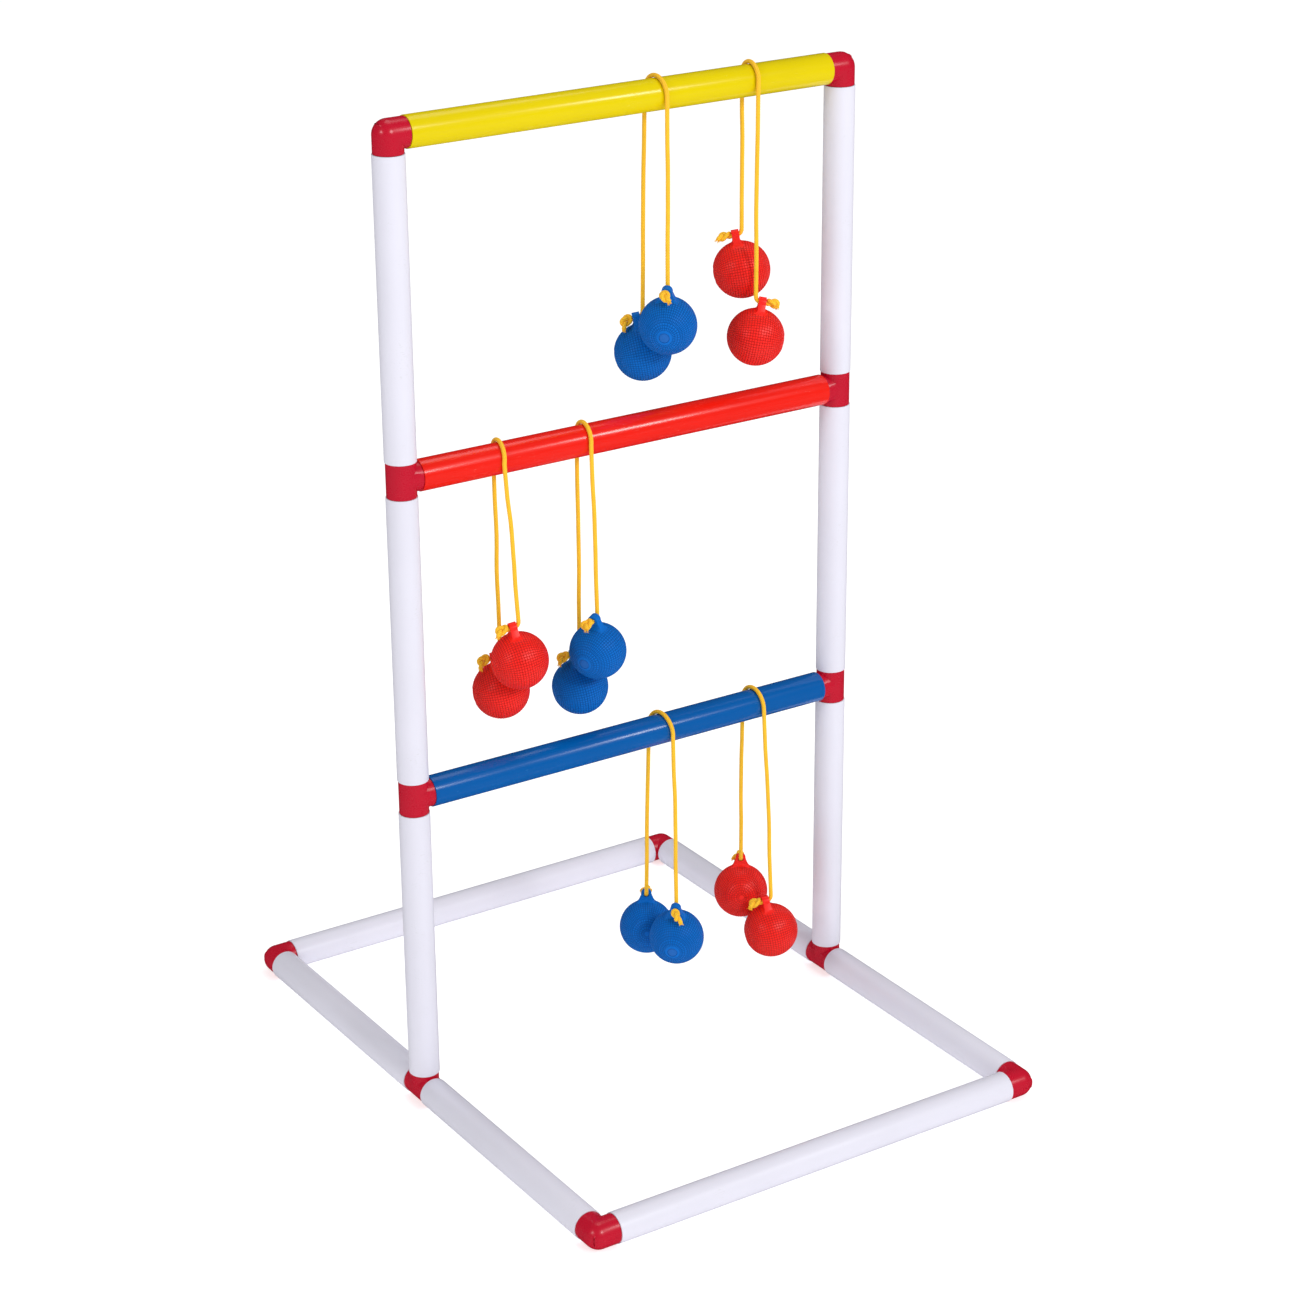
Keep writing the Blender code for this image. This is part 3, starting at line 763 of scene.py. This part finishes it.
def addBalls():
    models = {"redVinyl": modelBall("redVinyl", ball["redPebble"]),
              "blueVinyl": modelBall("blueVinyl", ball["bluePebble"])}
    for bola in bolas:
        for sideName, side in sides:
            placing = ballPlacing(bola, side, bola[sideName], pushOut(bola))
            body = f"{bola['name']}_{sideName}"
            piece = placedCopy(models[bola["finish"]], body + "_vinylBall", placing)
            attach(piece, body)
            dress(piece, bola["finish"], body + "_ball")
    for model in models.values():
        bpy.data.objects.remove(model, do_unlink=True)


addBalls()
print("balls hung")

# The tubes: each length is modelled once, upright at the origin, and copied
tube = {
    "sides": 64,
    "wall": 0.0016,
    "rimRound": 0.00035,
    "smoothAngle": 40,
}


def mapTube(obj):
    layer = obj.data.uv_layers[0]
    layer.name = "tubeMap"
    radius = stand["tubeRadius"]
    for face in obj.data.polygons:
        middle = math.atan2(face.center.y, face.center.x)
        for loopIndex in face.loop_indices:
            place = obj.data.vertices[obj.data.loops[loopIndex].vertex_index].co
            turn = math.atan2(place.y, place.x)
            turn += 2 * math.pi * round((middle - turn) / (2 * math.pi))
            layer.data[loopIndex].uv = (turn * radius, place.z)


def modelTube(length):
    pipe = addCylinder("tube", tube["sides"], stand["tubeRadius"], length)
    pickFaces(pipe, lambda centre, normal: abs(normal.z) > 0.9)
    bpy.ops.mesh.inset(thickness=tube["wall"], use_individual=True)
    bpy.ops.mesh.bridge_edge_loops()
    stopEditing()
    bevelEdges(pipe, tube["rimRound"], 60)
    cleanUp(pipe, tube["smoothAngle"])
    mapTube(pipe)
    return pipe


def tubePlacing(start, end, spin):
    start, end = Vector(start), Vector(end)
    turn = (end - start).to_track_quat("Z", "Y").to_matrix().to_4x4()
    return Matrix.Translation((start + end) / 2) @ turn @ Matrix.Rotation(spin, 4, "Z")


def addTubes():
    half, low, deep = halfSpacing, stand["baseAxis"], stand["baseHalfDepth"]
    runs = []
    for sideName, side in hands:
        x, below = side * half, low
        for level, rungName in enumerate(rungNames):
            above = rungHeight(level)
            runs.append((f"post_{rungName}_{sideName}", (x, 0, below), (x, 0, above), "whiteTube"))
            below = above
        for endName, end in sides:
            runs.append((f"base_rail_{endName}_{sideName}", (x, 0, low), (x, end * deep, low),
                         "whiteTube"))
    for level, (rungName, finish) in enumerate(zip(rungNames, rungFinishes)):
        z = rungHeight(level)
        runs.append((f"{rungName}_rung", (-half, 0, z), (half, 0, z), finish))
    for endName, end in sides:
        y = end * deep
        runs.append((f"base_bar_{endName}", (-half, y, low), (half, y, low), "whiteTube"))
    models = {}
    for number, (node, start, end, finish) in enumerate(runs):
        length = (Vector(end) - Vector(start)).length - 2 * (stand["shoulder"] + stand["faceGap"])
        key = round(length, 5)
        if key not in models:
            models[key] = modelTube(length)
        spin = number * 0.7  # no two tubes show the same marks
        piece = placedCopy(models[key], node + "_tube", tubePlacing(start, end, spin))
        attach(piece, "root")
        dress(piece, finish, node)
    for model in models.values():
        bpy.data.objects.remove(model, do_unlink=True)


addTubes()
print("tubes cut")

# The connectors: hollow, with a spigot for each tube and a fine moulding line in their own plane
fitting = {
    "sides": 48,
    "radius": 0.0150,
    "branchRadius": 0.0147,
    "spigotRadius": 0.01372,
    "boreRadius": 0.01172,
    "spigotEnd": 0.0395,
    "spigotChamfer": 0.0010,
    "round": 0.0006,
    "roundFrom": 40,  # degrees between faces
    "mouldLineWidth": 0.00018,
    "mouldLine": 0.00010,
    "smoothAngle": 40,
}


def modelArm(name, radius):
    shoulder = stand["shoulder"]
    arm = addCylinder(name, fitting["sides"], radius, shoulder, (0.0, 0.0, shoulder / 2))
    spigot, end, chamfer = fitting["spigotRadius"], fitting["spigotEnd"], fitting["spigotChamfer"]
    pickFaces(arm, lambda centre, normal: normal.z > 0.9 and centre.z > shoulder - tiny)
    bpy.ops.mesh.inset(thickness=radius - spigot)
    extrudeUp(end - chamfer - shoulder)
    extrudeUp(chamfer)
    scaleAcross((spigot - chamfer) / spigot, end)
    stopEditing()
    return arm


def modelBore(name, start, end, turn):
    bore = addCylinder(name, fitting["sides"], fitting["boreRadius"], end - start,
                       (0.0, 0.0, (start + end) / 2))
    bore.data.transform(turn)
    return bore


def onMouldPlane(place):  # and not on a spigot
    reach = stand["shoulder"] + stand["faceGap"]
    return abs(place.z) < tiny and abs(place.x) <= reach and abs(place.y) <= reach


def raiseMouldLine(obj):
    pickEdges(obj, lambda a, b: onMouldPlane(a) and onMouldPlane(b))
    bpy.ops.mesh.bevel(offset=fitting["mouldLineWidth"], segments=2, affect="EDGES")
    pickVerts(obj, onMouldPlane)
    bpy.ops.transform.shrink_fatten(value=fitting["mouldLine"])
    stopEditing()


def finishFitting(obj):
    bevelEdges(obj, fitting["round"], fitting["roundFrom"])
    cleanUp(obj, fitting["smoothAngle"])
    raiseMouldLine(obj)
    cleanUp(obj, fitting["smoothAngle"])


turnToX = Matrix.Rotation(math.pi / 2, 4, "Y")
turnToY = Matrix.Rotation(-math.pi / 2, 4, "X")
turnToMinusY = Matrix.Rotation(math.pi / 2, 4, "X")


def modelTee():
    run = modelArm("run", fitting["radius"])
    run.data.transform(turnToY)
    other = modelArm("otherRun", fitting["radius"])
    other.data.transform(turnToMinusY)
    for half in (run, other):  # the two halves of the run share one wall
        pickFaces(half, lambda centre, normal: abs(centre.y) < tiny and abs(normal.y) > 0.9)
        bpy.ops.mesh.delete(type="FACE")
        stopEditing()
    workOn(run)
    other.select_set(True)
    bpy.ops.object.join()
    run = bpy.context.object
    cleanUp(run, fitting["smoothAngle"])
    branch = modelArm("branch", fitting["branchRadius"])
    branch.data.transform(turnToX)
    joinSolids(run, [branch])
    reach = fitting["spigotEnd"] + 0.01  # the bores cut clear of the ends
    through = modelBore("throughBore", -reach, reach, turnToY)
    sideways = modelBore("sideBore", 0.0, reach, turnToX)
    joinSolids(run, [through, sideways], "DIFFERENCE")
    finishFitting(run)
    return run


def modelElbow():
    selectNothing()
    bpy.ops.mesh.primitive_uv_sphere_add(segments=fitting["sides"], ring_count=24,
                                         radius=fitting["radius"])
    corner = bpy.context.object
    pickFaces(corner, lambda centre, normal: centre.z > 0)
    bpy.ops.mesh.delete(type="FACE")
    stopEditing()
    radius, spigot, bore = fitting["radius"], fitting["spigotRadius"], fitting["boreRadius"]
    end, chamfer, shoulder = fitting["spigotEnd"], fitting["spigotChamfer"], stand["shoulder"]
    pickEdges(corner, lambda a, b: abs(a.z) < tiny and abs(b.z) < tiny)
    steps = [(radius, shoulder), (spigot, 0.0), (spigot, end - chamfer - shoulder),
             (spigot - chamfer, chamfer), (bore, 0.0), (bore, -end - 0.7 * radius)]
    now = radius
    for size, up in steps:
        extrudeUp(up)
        if size != now:
            scaleAcross(size / now)
        now = size
    stopEditing()
    corner.data.transform(turnToX)  # the arm lies along X
    corner.data.transform(Matrix.Rotation(math.pi / 4, 4, "Z"))  # the mitre onto the YZ plane
    return mirrored(corner)


def mirrored(corner):
    pickFaces(corner, lambda centre, normal: True)
    bpy.ops.mesh.bisect(plane_co=(0, 0, 0), plane_no=(1, 0, 0), clear_inner=True, use_fill=False)
    stopEditing()
    mirror = corner.modifiers.new("otherArm", "MIRROR")
    mirror.use_axis = (True, False, False)
    mirror.use_mirror_merge = True
    mirror.merge_threshold = 2 * tiny
    applyAll(corner)
    corner.data.transform(Matrix.Rotation(-math.pi / 4, 4, "Z"))
    cleanUp(corner, fitting["smoothAngle"])
    finishFitting(corner)
    return corner


def axes(xAxis, yAxis):
    xAxis, yAxis = Vector(xAxis), Vector(yAxis)
    return Matrix((xAxis, yAxis, xAxis.cross(yAxis))).transposed().to_4x4()


def addConnectors():
    tee, elbow = modelTee(), modelElbow()
    low, deep = stand["baseAxis"], stand["baseHalfDepth"]
    places = []
    for sideName, side in hands:
        x, inward = side * halfSpacing, (-side, 0, 0)
        places.append((f"base_tee_{sideName}", tee, (x, 0, low), axes((0, 0, 1), (0, 1, 0))))
        for level, rungName in enumerate(rungNames[:2]):
            places.append((f"{rungName}_tee_{sideName}", tee, (x, 0, rungHeight(level)),
                           axes(inward, (0, 0, 1))))
        places.append((f"top_elbow_{sideName}", elbow, (x, 0, rungHeight(2)),
                       axes(inward, (0, 0, -1))))
        for endName, end in sides:
            places.append((f"base_corner_{endName}_{sideName}", elbow, (x, end * deep, low),
                           axes(inward, (0, -end, 0))))
    for node, model, place, turn in places:
        piece = placedCopy(model, node + "_fitting", Matrix.Translation(place) @ turn)
        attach(piece, "root")
        dress(piece, "connectorPlastic", node)
    for model in (tee, elbow):
        bpy.data.objects.remove(model, do_unlink=True)


addConnectors()
print("connectors moulded")


# Materials. A shared effect is a node group, and each material gives it its own values.
def addNode(tree, kind, settings=None, inputs=None):
    made = tree.nodes.new(kind)
    for label, value in (settings or {}).items():
        setattr(made, label, value)
    for label, value in (inputs or {}).items():
        if isinstance(value, bpy.types.NodeSocket):
            tree.links.new(value, made.inputs[label])
        else:
            made.inputs[label].default_value = value
    return made


def newEffect(name, inputs, outputs):
    group = bpy.data.node_groups.new(name, "ShaderNodeTree")
    for label, kind, value in inputs:
        socket = group.interface.new_socket(name=label, in_out="INPUT", socket_type=kind)
        if value is not None:
            socket.default_value = value
    for label, kind in outputs:
        group.interface.new_socket(name=label, in_out="OUTPUT", socket_type=kind)
    return group, addNode(group, "NodeGroupInput"), addNode(group, "NodeGroupOutput")


def useEffect(tree, effect, inputs):
    return addNode(tree, "ShaderNodeGroup", {"node_tree": effect}, inputs)


def calculate(tree, operation, *values):
    made = addNode(tree, "ShaderNodeMath", {"operation": operation})
    for slotNumber, value in enumerate(values):
        if isinstance(value, bpy.types.NodeSocket):
            tree.links.new(value, made.inputs[slotNumber])
        else:
            made.inputs[slotNumber].default_value = value
    return made.outputs[0]


def mapped(tree, value, fromLow, fromHigh, toLow, toHigh):
    made = addNode(tree, "ShaderNodeMapRange", {"clamp": True}, {
        "Value": value, "From Min": fromLow, "From Max": fromHigh,
        "To Min": toLow, "To Max": toHigh})
    return made.outputs["Result"]


def mixed(tree, share, first, second, kind="MIX"):
    made = addNode(tree, "ShaderNodeMix", {"data_type": "RGBA", "blend_type": kind})
    for label, value in ((0, share), (6, first), (7, second)):
        if isinstance(value, bpy.types.NodeSocket):
            tree.links.new(value, made.inputs[label])
        else:
            made.inputs[label].default_value = value
    return made.outputs[2]


def opaque(colour):
    return (*colour, 1.0)


def addNoise(tree, where, size, detail, roughness, distortion=0.0):
    return addNode(tree, "ShaderNodeTexNoise", inputs={
        "Vector": where, "Scale": size, "Detail": detail, "Roughness": roughness,
        "Distortion": distortion}).outputs["Fac"]


def stretched(tree, vector, amounts):
    made = addNode(tree, "ShaderNodeVectorMath", {"operation": "MULTIPLY"})
    tree.links.new(vector, made.inputs[0])
    made.inputs[1].default_value = amounts
    return made.outputs["Vector"]


def makeColourDrift():
    group, enter, leave = newEffect("colourDrift", [
        ("Where", "NodeSocketVector", None), ("Colour", "NodeSocketColor", (0.8, 0.8, 0.8, 1.0)),
        ("Size", "NodeSocketFloat", 12.0), ("Amount", "NodeSocketFloat", 0.08)],
        [("Colour", "NodeSocketColor")])
    noise = addNoise(group, enter.outputs["Where"], enter.outputs["Size"], 4.0, 0.55)
    swing = calculate(group, "SUBTRACT", noise, 0.5)
    swing = calculate(group, "MULTIPLY", swing, enter.outputs["Amount"])
    value = calculate(group, "MULTIPLY_ADD", swing, 2.0, 1.0)
    shifted = addNode(group, "ShaderNodeHueSaturation", inputs={
        "Value": value, "Color": enter.outputs["Colour"]})
    group.links.new(shifted.outputs["Color"], leave.inputs["Colour"])
    return group


def makeMouldGrain():
    group, enter, leave = newEffect("mouldGrain", [
        ("Where", "NodeSocketVector", None), ("Size", "NodeSocketFloat", 900.0),
        ("Ripple", "NodeSocketFloat", 0.4)], [("Height", "NodeSocketFloat")])
    fine = addNoise(group, enter.outputs["Where"], enter.outputs["Size"], 3.0, 0.6)
    slow = calculate(group, "MULTIPLY", enter.outputs["Size"], 0.05)
    wide = addNoise(group, enter.outputs["Where"], slow, 2.0, 0.5)
    wave = calculate(group, "MULTIPLY", wide, enter.outputs["Ripple"])
    height = calculate(group, "ADD", fine, wave)
    group.links.new(height, leave.inputs["Height"])
    return group


def makeHandlingScuffs():
    group, enter, leave = newEffect("handlingScuffs", [
        ("Where", "NodeSocketVector", None), ("Size", "NodeSocketFloat", 30.0),
        ("Amount", "NodeSocketFloat", 0.5)], [("Mask", "NodeSocketFloat")])
    patches = addNoise(group, enter.outputs["Where"], enter.outputs["Size"], 5.0, 0.65, 0.6)
    drawn = stretched(group, enter.outputs["Where"], (1.0, 7.0, 5.0))
    finer = calculate(group, "MULTIPLY", enter.outputs["Size"], 6.0)
    lines = addNoise(group, drawn, finer, 2.0, 0.5, 0.4)
    worn = mapped(group, patches, 0.52, 0.66, 0.0, 1.0)
    scratched = mapped(group, lines, 0.60, 0.68, 0.0, 1.0)
    both = calculate(group, "MULTIPLY", worn, scratched)
    mask = calculate(group, "MULTIPLY", both, enter.outputs["Amount"])
    group.links.new(mask, leave.inputs["Mask"])
    return group


def makeSettledDust():
    group, enter, leave = newEffect("settledDust", [
        ("Where", "NodeSocketVector", None), ("Size", "NodeSocketFloat", 220.0),
        ("Amount", "NodeSocketFloat", 0.4)], [("Mask", "NodeSocketFloat")])
    specks = addNode(group, "ShaderNodeTexVoronoi", inputs={
        "Vector": enter.outputs["Where"], "Scale": enter.outputs["Size"], "Randomness": 1.0})
    chosen = addNode(group, "ShaderNodeSeparateColor", inputs={"Color": specks.outputs["Color"]})
    small = mapped(group, specks.outputs["Distance"], 0.05, 0.16, 1.0, 0.0)
    few = mapped(group, chosen.outputs["Red"], 0.86, 0.90, 0.0, 1.0)
    both = calculate(group, "MULTIPLY", small, few)
    mask = calculate(group, "MULTIPLY", both, enter.outputs["Amount"])
    group.links.new(mask, leave.inputs["Mask"])
    return group


def makeDrawnStreaks():
    group, enter, leave = newEffect("drawnStreaks", [
        ("Around and Along", "NodeSocketVector", None), ("Fineness", "NodeSocketFloat", 900.0)],
        [("Height", "NodeSocketFloat"), ("Mask", "NodeSocketFloat")])
    drawn = stretched(group, enter.outputs["Around and Along"], (1.0, 0.012, 1.0))
    lines = addNoise(group, drawn, enter.outputs["Fineness"], 3.0, 0.5)
    mask = mapped(group, lines, 0.45, 0.70, 0.0, 1.0)
    group.links.new(lines, leave.inputs["Height"])
    group.links.new(mask, leave.inputs["Mask"])
    return group


colourDrift = makeColourDrift()
mouldGrain = makeMouldGrain()
handlingScuffs = makeHandlingScuffs()
settledDust = makeSettledDust()
drawnStreaks = makeDrawnStreaks()

finishes = {
    "whiteTube": {"colour": (0.725, 0.715, 0.805), "scuff": (0.62, 0.62, 0.66),
                  "roughness": 0.34, "scuffs": 0.55, "dust": 0.12, "drift": 0.05,
                  "streak": 0.00003, "gloss": 0.3},
    "yellowTube": {"colour": (0.72, 0.57, 0.000), "scuff": (0.82, 0.70, 0.06),
                   "roughness": 0.20, "scuffs": 0.22, "dust": 0.02, "drift": 0.06,
                   "streak": 0.00002, "gloss": 0.3},
    "redTube": {"colour": (0.82, 0.010, 0.003), "scuff": (0.88, 0.12, 0.08),
                "roughness": 0.20, "scuffs": 0.22, "dust": 0.02, "drift": 0.08,
                "streak": 0.00002, "gloss": 0.6},
    "blueTube": {"colour": (0.000, 0.096, 0.36), "scuff": (0.00, 0.24, 0.60),
                 "roughness": 0.20, "scuffs": 0.22, "dust": 0.01, "drift": 0.08,
                 "streak": 0.00002, "gloss": 0.35},
    "connectorPlastic": {"colour": (0.52, 0.002, 0.022), "scuff": (0.62, 0.06, 0.10),
                         "roughness": 0.27, "scuffs": 0.28, "dust": 0.03, "drift": 0.08,
                         "grain": 0.00002, "gloss": 0.45},
    # groove: how much darker the pebbles' flanks and the plug's ring are painted, as painted shade
    "redVinyl": {"colour": (0.96, 0.009, 0.003), "scuff": (0.78, 0.05, 0.03),
                 "roughness": 0.40, "scuffs": 0.28, "dust": 0.02, "drift": 0.10,
                 "grain": 0.00004, "gloss": 0.4, "grooveShade": 0.62},
    "blueVinyl": {"colour": (0.000, 0.138, 0.55), "scuff": (0.00, 0.19, 0.58),
                  "roughness": 0.44, "scuffs": 0.28, "dust": 0.01, "drift": 0.10,
                  "grain": 0.00004, "gloss": 0.12, "grooveShade": 0.64},
    # deep: painted shade for the braid's crevices
    "braidedCord": {"colour": (1.0, 0.58, 0.028), "deep": (0.70, 0.32, 0.010),
                    "bleached": (1.0, 0.72, 0.12), "roughness": 0.72, "drift": 0.12},
}
# The sizes of the patterns in each kind of surface, and its dust
tubePattern = {"drift": 9.0, "scuff": 26.0, "dust": 260.0, "dustColour": (0.78, 0.76, 0.72)}
mouldedPattern = {"drift": 40.0, "scuff": 45.0, "dust": 320.0, "dustColour": (0.80, 0.74, 0.70)}


def newMaterial(name):
    material = bpy.data.materials.new(name)
    material.use_nodes = True
    tree = material.node_tree
    shader = tree.nodes["Principled BSDF"]
    where = addNode(tree, "ShaderNodeTexCoord").outputs["Object"]
    return material, tree, shader, where


def drifted(tree, where, colour, size, amount):
    return useEffect(tree, colourDrift, {"Where": where, "Colour": opaque(colour), "Size": size,
                                         "Amount": amount}).outputs["Colour"]


def colourWorn(tree, shader, where, values, pattern):
    base = drifted(tree, where, values["colour"], pattern["drift"], values["drift"])
    scuff = useEffect(tree, handlingScuffs, {
        "Where": where, "Size": pattern["scuff"], "Amount": values["scuffs"]}).outputs["Mask"]
    dust = useEffect(tree, settledDust, {
        "Where": where, "Size": pattern["dust"], "Amount": values["dust"]}).outputs["Mask"]
    worn = mixed(tree, scuff, base, opaque(values["scuff"]))
    dusty = mixed(tree, dust, worn, opaque(pattern["dustColour"]))
    tree.links.new(dusty, shader.inputs["Base Color"])
    return scuff


def roughen(tree, shader, start, *parts):
    rough = start
    for mask, amount in parts:
        rough = calculate(tree, "MULTIPLY_ADD", mask, amount, rough)
    tree.links.new(rough, shader.inputs["Roughness"])


def addBump(tree, shader, height, strength, distance):
    bump = addNode(tree, "ShaderNodeBump", inputs={
        "Strength": strength, "Distance": distance, "Height": height})
    tree.links.new(bump.outputs["Normal"], shader.inputs["Normal"])


def paintTube(name, values):
    material, tree, shader, where = newMaterial(name)
    map2d = addNode(tree, "ShaderNodeUVMap", {"uv_map": "tubeMap"}).outputs["UV"]
    scuff = colourWorn(tree, shader, where, values, tubePattern)
    streaks = useEffect(tree, drawnStreaks, {"Around and Along": map2d, "Fineness": 700.0})
    roughen(tree, shader, values["roughness"], (streaks.outputs["Mask"], 0.07), (scuff, 0.30))
    addBump(tree, shader, streaks.outputs["Height"], 0.6, values["streak"])
    shader.inputs["Specular IOR Level"].default_value = values["gloss"]
    return [material]


def paintMoulded(name, values):
    material, tree, shader, where = newMaterial(name)
    scuff = colourWorn(tree, shader, where, values, mouldedPattern)
    grain = useEffect(tree, mouldGrain, {"Where": where, "Size": 1100.0, "Ripple": 1.2})
    grain = grain.outputs["Height"]
    roughen(tree, shader, values["roughness"] - 0.05, (grain, 0.05), (scuff, 0.25))
    addBump(tree, shader, grain, 0.7, values["grain"])
    shader.inputs["Specular IOR Level"].default_value = values["gloss"]
    return [material]


def paintVinyl(name, values):
    plug, grooveShade = dict(values), dict(values)
    plug["colour"] = tuple(min(1.0, part * 0.82 + 0.015) for part in values["colour"])
    plug["roughness"] = values["roughness"] - 0.12
    # the groove material's darker colour is painted shade in the pebbles' grooves and round the
    # plug
    grooveShade["colour"] = tuple(part * values["grooveShade"] for part in values["colour"])
    grooveShade["roughness"] = values["roughness"] + 0.2
    return (paintMoulded(name, values) + paintMoulded(name + "Plug", plug)
            + paintMoulded(name + "GrooveShade", grooveShade))


def paintCord(name, values):
    material, tree, shader, where = newMaterial(name)
    map2d = addNode(tree, "ShaderNodeUVMap", {"uv_map": "braidMap"}).outputs["UV"]
    height = addNode(tree, "ShaderNodeAttribute", {"attribute_name": "strandHeight"}).outputs["Fac"]
    base = drifted(tree, where, values["colour"], 55.0, values["drift"])
    fibres = useEffect(tree, drawnStreaks, {"Around and Along": map2d, "Fineness": 5200.0})
    # the strands' low parts take the deep colour: painted shade in the braid's crevices
    shown = mapped(tree, height, 0.10, 0.70, 0.0, 1.0)
    creviceShaded = mixed(tree, shown, opaque(values["deep"]), base)
    pale = calculate(tree, "MULTIPLY", fibres.outputs["Mask"], 0.22)
    frayed = mixed(tree, pale, creviceShaded, opaque(values["bleached"]))
    tree.links.new(frayed, shader.inputs["Base Color"])
    roughen(tree, shader, values["roughness"], (fibres.outputs["Mask"], 0.15))
    addBump(tree, shader, fibres.outputs["Height"], 0.8, 0.00012)
    shader.inputs["Specular IOR Level"].default_value = 0.2
    shader.inputs["Sheen Weight"].default_value = 0.08
    shader.inputs["Sheen Roughness"].default_value = 0.4
    return [material]


painters = {
    "whiteTube": paintTube, "yellowTube": paintTube, "redTube": paintTube, "blueTube": paintTube,
    "connectorPlastic": paintMoulded, "redVinyl": paintVinyl, "blueVinyl": paintVinyl,
    "braidedCord": paintCord,
}
for finish, paint in painters.items():
    made = paint(finish, finishes[finish])
    for piece in wearers[finish]:
        while len(piece.data.materials) < len(made):
            piece.data.materials.append(None)
        for slot, material in enumerate(made):
            piece.data.materials[slot] = material
print("materials made")

# The floor and the studio light
studio = {
    "floor": 28.0,
    "floorColour": (0.60, 0.60, 0.61),
    "floorGlow": 0.66,
    "skyStrength": 0.50,
    "skyInGloss": 0.03,  # how much of the white room shows in the plastics' gloss
    "skySeen": 0.50,  # added where the room itself is in the picture
    # each softbox: place, what it looks at, width, height, power
    "boxes": [
        ("keyBox", (0.30, -5.80, 4.20), (0.0, 0.0, 0.5), 1.6, 1.2, 140.0),
        ("stripBox", (3.40, -4.75, 4.15), (0.0, 0.0, 0.5), 0.9, 1.1, 85.0),
        ("sideBox", (-6.00, -1.20, 3.60), (0.0, 0.0, 0.5), 1.4, 1.4, 72.0),
        ("topBox", (1.5, 2.0, 8.0), (0.0, 0.0, 0.4), 4.0, 4.0, 90.0),
    ],
}


def setStage():
    selectNothing()
    bpy.ops.mesh.primitive_grid_add(x_subdivisions=8, y_subdivisions=8, size=studio["floor"])
    floor = bpy.context.object
    floor.name = "studioFloor"
    material, tree, shader, where = newMaterial("studioPaper")
    grain = useEffect(tree, mouldGrain, {"Where": where, "Size": 300.0, "Ripple": 0.3})
    tint = drifted(tree, where, studio["floorColour"], 1.5, 0.01)
    tree.links.new(tint, shader.inputs["Base Color"])
    addBump(tree, shader, grain.outputs["Height"], 0.1, 0.0001)
    shader.inputs["Roughness"].default_value = 0.9
    shader.inputs["Emission Color"].default_value = (1.0, 1.0, 1.0, 1.0)
    shader.inputs["Emission Strength"].default_value = studio["floorGlow"]
    floor.data.materials.append(material)
    floor.visible_glossy = False


def setLights():
    world = bpy.data.worlds.new("studio")
    scene.world = world
    world.use_nodes = True
    tree = world.node_tree
    sky = tree.nodes["Background"]
    sky.inputs["Color"].default_value = (1.0, 1.0, 1.0, 1.0)
    rays = addNode(tree, "ShaderNodeLightPath").outputs
    lit = mapped(tree, rays["Is Glossy Ray"], 0.0, 1.0, studio["skyStrength"], studio["skyInGloss"])
    seen = mapped(tree, rays["Is Camera Ray"], 0.0, 1.0, 0.0, studio["skySeen"])
    tree.links.new(calculate(tree, "ADD", lit, seen), sky.inputs["Strength"])
    for name, place, aim, width, height, power in studio["boxes"]:
        data = bpy.data.lights.new(name, "AREA")
        data.shape = "RECTANGLE"
        data.size, data.size_y, data.energy = width, height, power
        lamp = bpy.data.objects.new(name, data)
        scene.collection.objects.link(lamp)
        lamp.location = place
        lamp.rotation_euler = (Vector(place) - Vector(aim)).to_track_quat("Z", "Y").to_euler()


setStage()
setLights()
print("stage lit")
